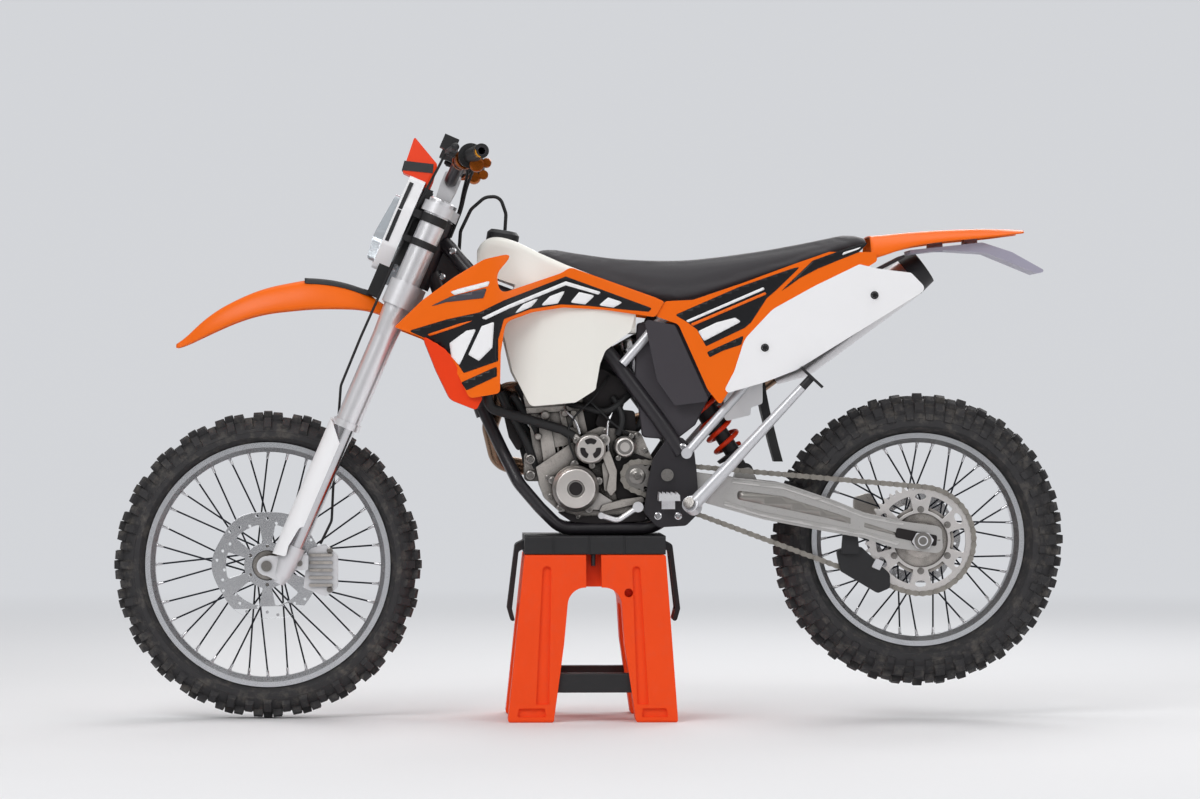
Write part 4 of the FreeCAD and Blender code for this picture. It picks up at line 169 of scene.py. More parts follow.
def add_node(tree, kind, **values):
    """A new shader node; each value sets a property, an input by name, or an input by number as in_0."""
    node = tree.nodes.new(kind)
    for key, value in values.items():
        if hasattr(node, key):
            setattr(node, key, value)
        else:
            feed(tree, node.inputs[int(key[3:]) if key.startswith("in_") else key.replace("_", " ")], value)
    return node


def mix(tree, share, first, second, blend="MIX"):
    """The colour between two colours, each a value or a socket."""
    node = add_node(tree, "ShaderNodeMix", data_type="RGBA", blend_type=blend, Factor=share, A=first, B=second)
    return node.outputs["Result"]


def set_inputs(tree, **values):
    """Sets or links inputs of a material's main shader."""
    for key, value in values.items():
        feed(tree, tree.nodes["Principled BSDF"].inputs[key.replace("_", " ")], value)


def object_place(tree):
    """The place on the object, from a material's own coordinate node."""
    return tree.nodes["Texture Coordinate"].outputs["Object"]


def set_relief(tree, height, strength, distance):
    """Gives a material its fine relief."""
    bump = add_node(tree, "ShaderNodeBump", Strength=strength, Distance=distance, Height=height)
    set_inputs(tree, Normal=bump.outputs["Normal"])


def shade(colour, factor):
    """The same colour, darker or lighter."""
    return tuple(min(1.0, part * factor) for part in colour) + (1.0,)


def finish_material(name, colour, rough=0.45, metal=0.0, drift=0.08, patch=14.0, grain=900.0, depth=0.1, coat=0.0,
                    spread=0.08, dust=0.0, dust_colour="#8F877C", sheen=0.0, hollow_shade=0.0, shine=0.5):
    """A finish with slow colour drift, fine grain in relief and roughness, dust, and painted shade that darkens its
    hollow places.
    """
    material = bpy.data.materials.new(name)
    material.use_nodes = True
    tree = material.node_tree
    set_inputs(tree, Metallic=metal, Specular_IOR_Level=shine, Coat_Weight=coat, Coat_Roughness=0.12,
               Sheen_Weight=sheen)
    place = add_node(tree, "ShaderNodeTexCoord").outputs["Object"]
    slow = add_node(tree, "ShaderNodeTexNoise", Vector=place, Scale=patch, Detail=4.0, Roughness=0.6).outputs["Fac"]
    fine = add_node(tree, "ShaderNodeTexNoise", Vector=place, Scale=grain, Detail=3.0, Roughness=0.6).outputs["Fac"]
    level = add_node(tree, "ShaderNodeMapRange", Value=fine, From_Min=0.3, From_Max=0.7,
                     To_Min=max(0.02, rough - spread), To_Max=min(1.0, rough + spread))
    set_relief(tree, fine, depth, 0.0006)
    surface = mix(tree, slow, shade(colour, 1.0 - drift), shade(colour, 1.0 + drift))
    if dust > 0:
        spots = add_node(tree, "ShaderNodeTexNoise", Vector=place, Scale=38.0, Detail=6.0, Roughness=0.7)
        reach = add_node(tree, "ShaderNodeMapRange", Value=spots.outputs["Fac"], From_Min=0.5, From_Max=0.72,
                         To_Max=dust)
        surface = mix(tree, reach.outputs["Result"], surface, shade(linear(dust_colour), 1.0))
    # Painted shade: the colour is darkened where ambient occlusion finds hollow places and crevices.
    if hollow_shade > 0:
        shelter = add_node(tree, "ShaderNodeAmbientOcclusion", samples=6, Distance=0.03)
        painted_hollow_shade = add_node(tree, "ShaderNodeMapRange", Value=shelter.outputs["AO"], From_Min=0.35, From_Max=0.95,
                         To_Min=1.0 - hollow_shade)
        surface = mix(tree, 1.0, surface, painted_hollow_shade.outputs["Result"], "MULTIPLY")
    set_inputs(tree, Base_Color=surface, Roughness=level.outputs["Result"])
    return material


def finish(name):
    """A finish that is already made."""
    return bpy.data.materials[name + FINISH_END]


def darken_past(name, code, point, axis, rough=0.5):
    """Turns a finish dark and dull past a plane, such as at an end cap; the point is in millimetres."""
    tree = finish(name).node_tree
    inputs = tree.nodes["Principled BSDF"].inputs
    axis = axis.normalized()
    reach = add_node(tree, "ShaderNodeVectorMath", operation="DOT_PRODUCT", in_0=object_place(tree), in_1=axis)
    past = add_node(tree, "ShaderNodeMath", operation="GREATER_THAN", in_0=reach.outputs["Value"],
                    in_1=point.dot(axis) * MM).outputs["Value"]
    bare = add_node(tree, "ShaderNodeMath", operation="SUBTRACT", use_clamp=True,
                    in_0=inputs["Metallic"].default_value, in_1=past)
    dull = add_node(tree, "ShaderNodeMath", operation="MULTIPLY_ADD", in_0=past, in_1=rough - 0.3,
                    in_2=inputs["Roughness"].links[0].from_socket)
    surface = mix(tree, past, inputs["Base Color"].links[0].from_socket, shade(linear(code), 1.0))
    set_inputs(tree, Base_Color=surface, Metallic=bare.outputs["Value"], Roughness=dull.outputs["Value"])


def turn_rings(name, axle):
    """Cuts the fine rings of a lathe round an axle into a finish."""
    tree = finish(name).node_tree
    shift = add_node(tree, "ShaderNodeVectorMath", operation="SUBTRACT", in_0=object_place(tree), in_1=axle * MM)
    flat = add_node(tree, "ShaderNodeVectorMath", operation="MULTIPLY", in_0=shift.outputs["Vector"], in_1=(1, 0, 1))
    reach = add_node(tree, "ShaderNodeVectorMath", operation="LENGTH", in_0=flat.outputs["Vector"])
    rings = add_node(tree, "ShaderNodeTexNoise", noise_dimensions="1D", W=reach.outputs["Value"], Scale=1600.0,
                     Detail=2.0)
    set_relief(tree, rings.outputs["Fac"], 0.12, 0.0004)


PLASTIC = dict(rough=0.36, drift=0.04, patch=5.0, grain=1400.0, depth=0.05, coat=0.03, spread=0.05, shine=0.26)
METAL = dict(rough=0.32, metal=1.0, drift=0.1, patch=22.0, grain=700.0, depth=0.08, spread=0.1)
TURNED = METAL | dict(rough=0.22, grain=400.0, depth=0.03)
SILVER = dict(rough=0.34, metal=0.35, drift=0.05)

# Finishes: a colour code or the setting that holds the colour, and how the finish departs from the plain one
# A finish's value for its hollow places is painted shade: how far its colour is darkened in hollow places and crevices.
FINISHES = {
    "orange_plastic": ("orange", PLASTIC),
    "red_plastic": ("red_orange", PLASTIC),
    "white_plastic": ("white", PLASTIC),
    "stand_plastic": ("stand", dict(rough=0.5, drift=0.12, patch=3.0, depth=0.2, dust=0.04, shine=0.3)),
    "tank_plastic": ("tank", dict(rough=0.4, drift=0.03, patch=4.0, depth=0.06, coat=0.1)),
    "black_plastic": ("black", dict(rough=0.5, drift=0.25, patch=30.0, depth=0.35, grain=1500.0)),
    "airbox_plastic": ("#38343A", dict(rough=0.5, drift=0.1, patch=9.0, depth=0.3, grain=1500.0)),
    "decal_black": ("black", PLASTIC),
    "decal_grey": ("#4A4850", PLASTIC),
    "seat_cover": ("seat", dict(rough=0.62, drift=0.1, patch=8.0, grain=1100.0, depth=0.6, sheen=0.25)),
    "grey_plastic": ("#A29FB0", dict(rough=0.42, drift=0.06)),
    "tyre_rubber": ("#2D2C2E", dict(rough=0.72, drift=0.3, patch=25.0, grain=700.0, depth=0.5, dust=0.28)),
    "rubber": ("#141416", dict(rough=0.6, drift=0.25, patch=30.0, depth=0.4)),
    "rim_aluminium": ("#D4D6DA", METAL | dict(rough=0.3)),
    "cast_aluminium": ("#CCC6C0", METAL | dict(rough=0.34, drift=0.25, grain=520.0, depth=0.5, dust=0.4, hollow_shade=1.0,
                                               dust_colour="#4A423C")),
    "cover_aluminium": ("#DAD5D1", METAL | dict(rough=0.38, grain=520.0, depth=0.35, hollow_shade=0.8)),
    "clamp_aluminium": ("#E2E2E5", dict(rough=0.42, metal=0.6, drift=0.05, depth=0.2, hollow_shade=0.5)),
    # Darkest casting: painted shade in the engine's recesses, and the dark axle slots.
    "dark_casting": ("#2C2829", dict(rough=0.5, metal=0.6, drift=0.3, depth=0.4, hollow_shade=0.7)),
    "chain_steel": ("#A8A39C", METAL | dict(rough=0.36, drift=0.25, depth=0.2, dust=0.15, hollow_shade=0.5)),
    "arm_shade": ("#9C9995", METAL | dict(rough=0.4, depth=0.2)),
    "swingarm_aluminium": ("#CFCDCB", METAL | dict(rough=0.36, drift=0.05, grain=600.0, depth=0.15, hollow_shade=0.4)),
    "fork_aluminium": ("#EDEDF0", dict(rough=0.3, metal=0.7, drift=0.03, depth=0.01, spread=0.03)),
    "silencer_skin": ("#D0CFD1", METAL | dict(rough=0.3, drift=0.04, depth=0.02, spread=0.04)),
    "stand_arm": ("#D5D6DA", SILVER),
    "silver_paint": ("#D5D6DA", SILVER),
    "chrome": ("#CFCFD2", METAL | dict(rough=0.14, depth=0.03)),
    "steel": ("#8E8B88", METAL | dict(rough=0.34, drift=0.2, depth=0.25, dust=0.15)),
    "spoke_steel": ("#23262E", dict(rough=0.3, metal=0.8, drift=0.15)),
    "front_disc": ("#C9CACD", TURNED),
    "rear_disc": ("#C9CACD", TURNED),
    "sprocket_plate": ("#E4E0DE", TURNED | dict(rough=0.36)),
    "header_steel": ("#8C7360", METAL | dict(rough=0.3, drift=0.35, patch=9.0, grain=500.0, dust=0.35,
                                             dust_colour="#5A4334", hollow_shade=0.5)),
    "frame_paint": ("#221F24", dict(rough=0.38, drift=0.2, depth=0.12, coat=0.1)),
    "spring_paint": ("spring", PLASTIC),
    "lamp_glass": ("#DDE4EA", dict(rough=0.06, drift=0.02, grain=60.0, depth=0.02, spread=0.02, coat=0.6)),
    "radiator_core": ("#5B5E62", dict(rough=0.5, metal=0.8, drift=0.12, grain=300.0)),
    "gold": ("#C98A2B", METAL | dict(rough=0.3)),
    "bronze": ("#A65A20", METAL | dict(rough=0.34)),
}

# CAD nodes that keep their shape, by finish
NODE_FINISHES = {
    "rim_aluminium": "front_rim rear_rim",
    "spoke_steel": "front_spokes rear_spokes",
    "cast_aluminium": "front_hub rear_hub crankcase cylinder rear_brake_caliper",
    "cover_aluminium": "engine_covers",
    "clamp_aluminium": "fork_lugs triple_clamps front_caliper",
    "fork_aluminium": "fork_outer_tubes footpegs foot_controls",
    "swingarm_aluminium": "swingarm",
    "chrome": "fork_inner_tubes",
    "steel": "front_sprocket front_axle frame_bolts rear_axle",
    "header_steel": "exhaust_header",
    "silencer_skin": "silencer",
    "silver_paint": "subframe",
    "stand_arm": "side_stand",
    "frame_paint": "handlebar main_frame",
    "white_plastic": "fork_guards headlight_mask number_panels",
    "black_plastic": "hand_controls shock fuel_cap chain_guide lift_stand_top",
    "orange_plastic": "rear_side_panels",
    "red_plastic": "mask_cowl",
    "grey_plastic": "plate_bracket",
    "tank_plastic": "fuel_tank",
    "airbox_plastic": "airbox",
    "stand_plastic": "lift_stand_legs",
    "lamp_glass": "headlamp",
    "radiator_core": "radiators",
    "rubber": "throttle_body grips coolant_hoses breather_hose front_brake_hose",
}


def paint(obj, name):
    """Gives a piece one finish in all its material slots."""
    if not obj.data.materials:
        obj.data.materials.append(finish(name))
    for slot in obj.material_slots:
        slot.material = finish(name)


# Mesh helpers

def place_object(name, data):
    """A new object in the scene."""
    obj = bpy.data.objects.new(name, data)
    bpy.context.scene.collection.objects.link(obj)
    return obj


def dress(obj, look, body):
    """Paints a piece and lets it ride on a CAD body."""
    paint(obj, look)
    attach(obj, body)
    return obj


def smooth_faces(mesh):
    """Shades all faces of a mesh smooth."""
    for face in mesh.polygons:
        face.use_smooth = True


def mesh_piece(name, mesh, look, body, smooth=35.0):
    """A painted piece with outward faces and edges sharp from an angle."""
    work = bmesh.new()
    work.from_mesh(mesh)
    bmesh.ops.recalc_face_normals(work, faces=work.faces)
    work.to_mesh(mesh)
    work.free()
    smooth_faces(mesh)
    mesh.set_sharp_from_angle(angle=math.radians(smooth))
    return dress(place_object(name, mesh), look, body)


class Bag:
    """Vertices and faces of many small shapes, in millimetres, that become one piece."""

    def __init__(self):
        self.verts = []
        self.faces = []

    def grid(self, rows, closed_rows=False, closed_columns=True, caps=True):
        """Adds a skin over rows of points; two closed rows with caps are a solid block."""
        base = len(self.verts)
        width = len(rows[0])
        self.verts.extend(point for row in rows for point in row)
        for row in range(len(rows) if closed_rows else len(rows) - 1):
            below = base + row * width
            above = base + ((row + 1) % len(rows)) * width
            for column in range(width if closed_columns else width - 1):
                after = (column + 1) % width
                self.faces.append((below + column, below + after, above + after, above + column))
        if caps and not closed_rows and closed_columns:
            self.faces.append(tuple(range(base, base + width)))
            self.faces.append(tuple(range(len(self.verts) - width, len(self.verts))))

    def lathe(self, profile, centre, axis, steps=48, closed=False):
        """Adds a turned shape; the profile holds (distance from the axis, place along it)."""
        axis = axis.normalized()
        side = axis.orthogonal().normalized()
        other = axis.cross(side)
        rows = []
        for step in range(steps):
            angle = math.tau * step / steps
            out = side * math.cos(angle) + other * math.sin(angle)
            rows.append([centre + axis * along + out * radius for radius, along in profile])
        self.grid(rows, closed_rows=True, closed_columns=closed, caps=False)

    def rod(self, centre, axis, radius, low, high, steps):
        """Adds a round rod between two places along its axis."""
        self.lathe([(0, low), (radius, low), (radius, high), (0, high)], centre, axis, steps)

    def ring(self, centre, axis, inner, outer, low, high, steps):
        """Adds a ring with a bore."""
        self.lathe([(inner, low), (outer, low), (outer, high), (inner, high)], centre, axis, steps, closed=True)

    def box(self, centre, across, along, up, half):
        """Adds a block with its three directions and half sizes."""
        self.grid([[centre + across * (x * half[0]) + along * (y * half[1]) + up * (z * half[2])
                    for x, y in SQUARE] for z in (-1, 1)])

    def prism(self, outline, low, high):
        """Adds an X-Z outline, extruded from low to high in Y."""
        self.grid([[Vector((x, y, z)) for x, z in outline] for y in (low, high)])

    def side_block(self, outline, low, high, edge=1.2):
        """Adds a cast block with eased edges: an X-Z outline between two distances in Y."""
        middle = sum((Vector(point) for point in outline), Vector((0, 0))) / len(outline)
        rows = []
        for y, inset in ((low, edge), (low + edge, 0.0), (high, 0.0)):
            row = []
            for x, z in outline:
                toward = (middle - Vector((x, z))).normalized() * inset
                row.append(Vector((x + toward.x, y, z + toward.y)))
            rows.append(row)
        self.grid(rows)

    def bolt(self, place, axis, radius):
        """Adds a flanged hexagon bolt with a socket, on a face that looks along the axis."""
        flange = radius * 1.4
        self.lathe([(0, -1), (flange, -1), (flange, radius * 0.2), (radius, radius * 0.35)], place, axis, 18)
        self.lathe([(radius, radius * 0.2), (radius, radius), (radius * 0.85, radius * 1.12),
                    (radius * 0.55, radius * 1.12), (radius * 0.5, radius * 0.5), (0, radius * 0.5)], place, axis, 6)

    def bolt_on(self, node, x, z, radius, side=-1):
        """Adds a bolt on the face of a CAD node that shows first from the left (-1) or the right (1)."""
        self.bolt(face_of(node, x, z, side), RIGHT * side, radius)

    def mirror(self):
        """Adds the twin of everything on the other side of the machine."""
        count = len(self.verts)
        self.verts += [Vector((v[0], -v[1], v[2])) for v in self.verts]
        self.faces += [tuple(count + index for index in face) for face in self.faces]

    def piece(self, name, look, body="chassis", smooth=35.0, twin=False):
        """Turns the bag into one piece, with its twin on the other side if asked."""
        if twin:
            self.mirror()
        mesh = bpy.data.meshes.new(name)
        mesh.from_pydata([Vector(v) * MM for v in self.verts], [], self.faces)
        mesh.update()
        return mesh_piece(name, mesh, look, body, smooth)


def face_of(node, x, z, side=-1):
    """The place on a CAD node that shows first from the left (-1) or the right (1)."""
    start = Vector((x, side * 600.0, z)) * MM
    hit, place, normal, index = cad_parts[node].ray_cast(start, Vector((0, -side, 0)))
    if not hit:
        raise RuntimeError(f"nothing of {node} at {x}, {z}")
    return place / MM


def arch(x, foot, tall, section):
    """A row of points over the middle plane from its left half of (y, share of the height)."""
    left = [Vector((x, y, foot + share * tall)) for y, share in section]
    return left + [Vector((x, -point.y, point.z)) for point in reversed(left[:-1])]


def rounded(corners, steps=5):
    """An outline with rounded corners from (x, z) or (x, z, radius) corners."""
    points = []
    count = len(corners)
    for index, corner in enumerate(corners):
        place = Vector(corner[:2])
        radius = corner[2] if len(corner) > 2 else 0.0
        before = Vector(corners[index - 1][:2]) - place
        after = Vector(corners[(index + 1) % count][:2]) - place
        turn = math.pi - before.angle(after)
        if radius <= 0 or turn < 0.02:
            points.append(tuple(place))
            continue
        reach = min(radius * math.tan(turn / 2), 0.48 * before.length, 0.48 * after.length)
        start = place + before.normalized() * reach
        end = place + after.normalized() * reach
        for step in range(steps + 1):
            t = step / steps
            points.append(tuple(start * (1 - t) ** 2 + place * (2 * t * (1 - t)) + end * t ** 2))
    return points


def block_piece(name, corners, low, high, look, edge=1.2, twin=False):
    """A cast block of its own, from an outline with corner radii."""
    bag = Bag()
    bag.side_block(rounded(corners), low, high, edge)
    bag.piece(name, look, smooth=30.0, twin=twin)


def eased(table, x, column=1, window=60):
    """A value of a table at x, with its corners eased over a window."""
    total = 0.0
    samples = 9
    for index in range(samples):
        at = min(max(x + (index / (samples - 1) - 0.5) * window, table[0][0]), table[-1][0])
        for first, second in zip(table, table[1:]):
            if at <= second[0]:
                share = (at - first[0]) / (second[0] - first[0])
                total += first[column] + (second[column] - first[column]) * share
                break
    return total / samples


def wall(low, low_plan, high, high_plan):
    """The surface that leans from one plan line at its foot to another at its top."""
    def side(x, z):
        share = (z - low) / (high - low)
        return eased(low_plan, x, window=80) * (1 - share) + eased(high_plan, x, window=80) * share
    return side


def skin(outline, surface, lift, cell):
    """The faces of an outline, divided into cells and laid on a curved wall."""
    work = bmesh.new()
    work.faces.new([work.verts.new((x, 0, z)) for x, z in outline])
    for axis, normal in ((0, AFT), (2, UP)):
        low = min(vert.co[axis] for vert in work.verts)
        high = max(vert.co[axis] for vert in work.verts)
        count = int((high - low) / cell) + 1
        for step in range(1, count):
            bmesh.ops.bisect_plane(work, geom=work.verts[:] + work.edges[:] + work.faces[:],
                                   plane_co=normal * (low + step * (high - low) / count), plane_no=normal,
                                   dist=0.0001)
    for vert in work.verts:
        vert.co.y = surface(vert.co.x, vert.co.z) - lift
    return work


def shell_piece(name, outline, surface, look, thickness=3.0, lift=0.0, cell=16.0, bevel=0.8):
    """A moulded panel with real thickness, and its twin on the other side."""
    work = skin(outline, surface, lift, cell)
    bmesh.ops.recalc_face_normals(work, faces=work.faces)
    if sum(face.normal.y for face in work.faces) > 0:
        bmesh.ops.reverse_faces(work, faces=work.faces)
    bmesh.ops.scale(work, vec=(MM, MM, MM), verts=work.verts)
    mesh = bpy.data.meshes.new(name)
    work.to_mesh(mesh)
    work.free()
    smooth_faces(mesh)
    obj = place_object(name, mesh)
    solid = obj.modifiers.new("Thickness", "SOLIDIFY")
    solid.thickness = thickness * MM
    solid.offset = -1.0
    if bevel > 0:
        edge = obj.modifiers.new("Edge", "BEVEL")
        edge.width = bevel * MM
        edge.segments = 2
        edge.limit_method = "ANGLE"
        edge.angle_limit = math.radians(50)
    obj.modifiers.new("Twin", "MIRROR").use_axis = (False, True, False)
    return dress(obj, look, "chassis")


def lay_stripes(name, stripes, surface, lift):
    """Thin stripes on a wall: black ones below the others."""
    for index, (look, outline) in enumerate(stripes):
        shell_piece(f"{name}_{index}", rounded([(*p, 3) for p in outline], 2), surface, look, 0.4,
                    lift + 0.25 * (look != "decal_black"), cell=8.0, bevel=0)


def tube_piece(name, routes, radius, look="rubber", body="chassis"):
    """Round wires or hoses along smooth curves; the points are in millimetres."""
    curve = bpy.data.curves.new(name, "CURVE")
    curve.dimensions = "3D"
    curve.bevel_depth = radius * MM
    curve.bevel_resolution = 4
    curve.use_fill_caps = True
    curve.resolution_u = 10
    for points in routes:
        spline = curve.splines.new("NURBS")
        spline.points.add(len(points) - 1)
        for point, place in zip(spline.points, points):
            point.co = (*(Vector(place) * MM), 1.0)
        spline.order_u = 3
        spline.use_endpoint_u = True
    return dress(place_object(name, curve), look, body)


def cut_plate(name, loops, middle, thickness, look, body, bevel=0.3):
    """A flat plate across Y with cut-outs; the loops hold (x, z) places round the middle."""
    curve = bpy.data.curves.new(name, "CURVE")
    curve.dimensions = "2D"
    curve.fill_mode = "BOTH"
    curve.extrude = (thickness / 2 - bevel) * MM
    curve.bevel_depth = bevel * MM
    curve.bevel_resolution = 1
    for loop in loops:
        spline = curve.splines.new("POLY")
        spline.points.add(len(loop) - 1)
        for point, (x, z) in zip(spline.points, loop):
            point.co = (x * MM, z * MM, 0, 1)
        spline.use_cyclic_u = True
    holder = place_object(name + "_outline", curve)
    bpy.context.view_layer.update()
    mesh = bpy.data.meshes.new_from_object(holder)
    bpy.data.objects.remove(holder)
    mesh.transform(Matrix.Translation(middle * MM) @ Matrix.Rotation(math.pi / 2, 4, "X"))
    return mesh_piece(name, mesh, look, body, 30.0)


def around(centre, radius, angle):
    """The (x, z) place at a distance and an angle from a centre."""
    return centre[0] + radius * math.cos(angle), centre[1] + radius * math.sin(angle)


def ring_loop(radius, steps=96, wave=0.0, waves=0, centre=ORIGIN):
    """A closed round line, waved if asked."""
    turns = [math.tau * step / steps for step in range(steps)]
    return [around(centre, radius + wave * math.cos(waves * turn), turn) for turn in turns]


def sector_loop(inner, outer, middle, half, corner=6.0, steps=6):
    """A window between two radii round an angle, with rounded corners."""
    corners = []
    for first, last, sign in ((inner, outer, -1), (outer, inner, 1)):
        for radius in (first, last):
            corners.append((*around(ORIGIN, radius, middle + sign * half), corner))
        for step in range(1, steps):
            turn = middle + sign * half * (1 - 2 * step / steps)
            corners.append((*around(ORIGIN, last, turn), 0))
    return rounded(corners, 3)


def steer_point(back, side, along):
    """A point of the upright fork frame in the machine's frame."""
    return STEER_FOOT + STEER_BACK * back + Vector((0, side, 0)) + STEER_AXIS * along


# Stage

def area_light(name, place, aim_height, size, power):
    """A soft lamp that looks at the machine."""
    lamp = bpy.data.lights.new(name, "AREA")
    lamp.shape = "RECTANGLE"
    lamp.size, lamp.size_y = size
    lamp.energy = power
    obj = place_object(name, lamp)
    obj.location = place
    obj.rotation_euler = (Vector((0, 0, aim_height)) - obj.location).to_track_quat("-Z", "Y").to_euler()


def blend_for_camera(tree, share, lit, code, target):
    """Lets a surface or the sky show one plain colour to the camera alone, with no light on the machine."""
    kind = "ShaderNodeEmission" if target.node.type == "OUTPUT_MATERIAL" else "ShaderNodeBackground"
    shown = add_node(tree, kind, Color=(*linear(code), 1.0), Strength=1.0)
    path = add_node(tree, "ShaderNodeLightPath")
    amount = add_node(tree, "ShaderNodeMath", operation="MULTIPLY", in_0=share, in_1=path.outputs["Is Camera Ray"])
    blend = add_node(tree, "ShaderNodeMixShader", Fac=amount.outputs["Value"], in_1=lit, in_2=shown.outputs[0])
    tree.links.new(blend.outputs["Shader"], target)


class BIKE_OT_camera(bpy.types.Operator):
    """Adds the camera at the photograph's place: level, on the left side, far away"""

    bl_idname = "bike.camera"
    bl_label = "Camera"

    def execute(self, context):
        bike = settings()
        data = bpy.data.cameras.new("camera")
        camera = place_object("camera", data)
        camera.location = (CAMERA_X, -bike.camera_distance, EYE_HEIGHT)
        sight = Vector((AIM_X, 0.0, EYE_HEIGHT)) - camera.location
        camera.rotation_euler = sight.to_track_quat("-Z", "Y").to_euler()
        data.sensor_width = SENSOR_WIDTH
        data.lens = data.sensor_width * sight.length / bike.frame_width
        data.clip_end = 60.0
        context.scene.camera = camera
        context.scene.view_settings.view_transform = "Standard"
        return {"FINISHED"}


class BIKE_OT_stage(bpy.types.Operator):
    """Adds a pale floor that rises into a backdrop far behind, and even soft light"""

    bl_idname = "bike.stage"
    bl_label = "Stage"

    def execute(self, context):
        profile = ((-26, 0), (3.0, 0), (10.0, 0), (14.0, 0.25), (16.0, 0.95), (17.0, 2.2), (17.4, 4.0), (17.4, 12.0))
        bag = Bag()
        bag.grid([[Vector((x, y, z)) for x in (-26, -13, 0, 13, 26)] for y, z in profile], closed_columns=False,
                 caps=False)
        mesh = bpy.data.meshes.new("floor")
        mesh.from_pydata(bag.verts, [], bag.faces)
        smooth_faces(mesh)
        floor = place_object("floor", mesh)
        material = finish_material("floor_paint", linear("#ECECEE"), rough=0.7, drift=0.015, patch=0.8, grain=60.0,
                                   depth=0.02)
        tree = material.node_tree
        reach = add_node(tree, "ShaderNodeVectorMath", operation="LENGTH", in_0=object_place(tree))
        far = add_node(tree, "ShaderNodeMapRange", Value=reach.outputs["Value"], From_Min=1.5, From_Max=7.0,
                       To_Max=0.88)
        blend_for_camera(tree, far.outputs["Result"], tree.nodes["Principled BSDF"].outputs["BSDF"], "#D9DBDF",
                         tree.nodes["Material Output"].inputs["Surface"])
        mesh.materials.append(material)
        floor.modifiers.new("Smooth", "SUBSURF").render_levels = 2

        world = bpy.data.worlds.new("studio")
        world.use_nodes = True
        tree = world.node_tree
        sky = tree.nodes["Background"]
        sky.inputs["Strength"].default_value = 0.5
        place = add_node(tree, "ShaderNodeTexCoord").outputs["Generated"]
        height = add_node(tree, "ShaderNodeSeparateXYZ", Vector=place).outputs["Z"]
        share = add_node(tree, "ShaderNodeMath", operation="MULTIPLY_ADD", in_0=height, in_1=0.5, in_2=0.5)
        ramp = add_node(tree, "ShaderNodeValToRGB", Fac=share.outputs["Value"])
        low, high = ramp.color_ramp.elements
        low.position, low.color = 0.35, (0.05, 0.05, 0.055, 1)
        high.position, high.color = 0.8, (1, 1, 1, 1)
        tree.links.new(ramp.outputs["Color"], sky.inputs["Color"])
        blend_for_camera(tree, 1.0, sky.outputs["Background"], "#D5D7DB",
                         tree.nodes["World Output"].inputs["Surface"])
        context.scene.world = world
        for lamp in LAMPS:
            area_light(*lamp)
        return {"FINISHED"}


class BIKE_OT_finishes(bpy.types.Operator):
    """Makes every finish and paints the CAD nodes that keep their shape"""

    bl_idname = "bike.finishes"
    bl_label = "Finishes"

    def execute(self, context):
        for name, (code, values) in FINISHES.items():
            colour = linear(code) if code.startswith("#") else getattr(settings(), code)
            finish_material(name + FINISH_END, colour, **values)
        darken_past("silencer_skin", "#1C1B1D", SILENCER_CAP, SILENCER_AXIS)
        darken_past("stand_arm", "#1D1C1F", STAND_TOE, STAND_AXIS)
        for name, axle in (("front_disc", FRONT_AXLE), ("rear_disc", REAR_AXLE), ("sprocket_plate", REAR_AXLE)):
            turn_rings(name, axle)
        set_inputs(finish("lamp_glass").node_tree, Transmission_Weight=0.55, IOR=1.49)
        tree = finish("radiator_core").node_tree
        fins = add_node(tree, "ShaderNodeTexWave", bands_direction="Z", Vector=object_place(tree), Scale=130.0,
                        Distortion=0.3)
        set_relief(tree, fins.outputs["Fac"], 0.9, 0.002)
        for look, nodes in NODE_FINISHES.items():
            for node in nodes.split():
                paint(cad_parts[node], look)
        return {"FINISHED"}


# Wheels

def tyre_section(half, base, height, angle):
    """A point of the tyre's crown and its outward normal in (radius, y)."""
    place = Vector((base + height * math.cos(angle), half * math.sin(angle)))
    normal = Vector((half * math.cos(angle), height * math.sin(angle))).normalized()
    return place, normal


def add_knob(bag, axle, turn, base, normal, length, width, height):
    """Adds one knob: a tapered block on the crown."""
    out = Vector((math.cos(turn), 0, math.sin(turn)))
    along = Vector((-math.sin(turn), 0, math.cos(turn)))
    up = out * normal[0] + RIGHT * normal[1]
    across = along.cross(up).normalized()
    foot = axle + out * base[0] + RIGHT * base[1] - up * 3.0
    bag.grid([[foot + up * level + along * (x * length * share / 2) + across * (y * width * share / 2)
               for x, y in SQUARE] for level, share in ((0.0, 1.16), (height + 3.0, 0.92))])


def make_tyre(end, axle, tyre, rim, pitches, rows):
    """A knobbed tyre: carcass with side ribs, and rows of knobs."""
    radius, half = tyre
    rim_radius, rim_half = rim
    knob_height = settings().knob_height / MM
    base = rim_radius + 0.28 * (radius - rim_radius)
    height = radius - knob_height - base
    width = half - 3.0
    profile = [(rim_radius - 8, rim_half - 0.5), (rim_radius + 1.5, rim_half - 0.5), (rim_radius + 4, rim_half + 3)]
    for step in range(13):
        place, normal = tyre_section(width, base, height, math.radians(100 - step * 100 / 12))
        profile.append((place[0], place[1]))
        if step == 2:
            profile.append((place[0] + 1.2, place[1] + 1.0))
    profile += [(r, -y) for r, y in reversed(profile[:-1])]
    bag = Bag()
    bag.lathe(profile, axle, RIGHT, 144, closed=True)
    for pitch in range(pitches):
        for shift, angle, length, size, tall, only in rows:
            if only >= 0 and pitch % 2 != only:
                continue
            for side in ((-1, 1) if angle else (1,)):
                place, normal = tyre_section(width, base, height, math.radians(angle * side))
                add_knob(bag, axle, math.tau * (pitch + shift) / pitches, place, normal, length, size,
                         knob_height * tall)
    return bag.piece(end + "_tyre_knobs", "tyre_rubber", end + "_wheel", 30.0)


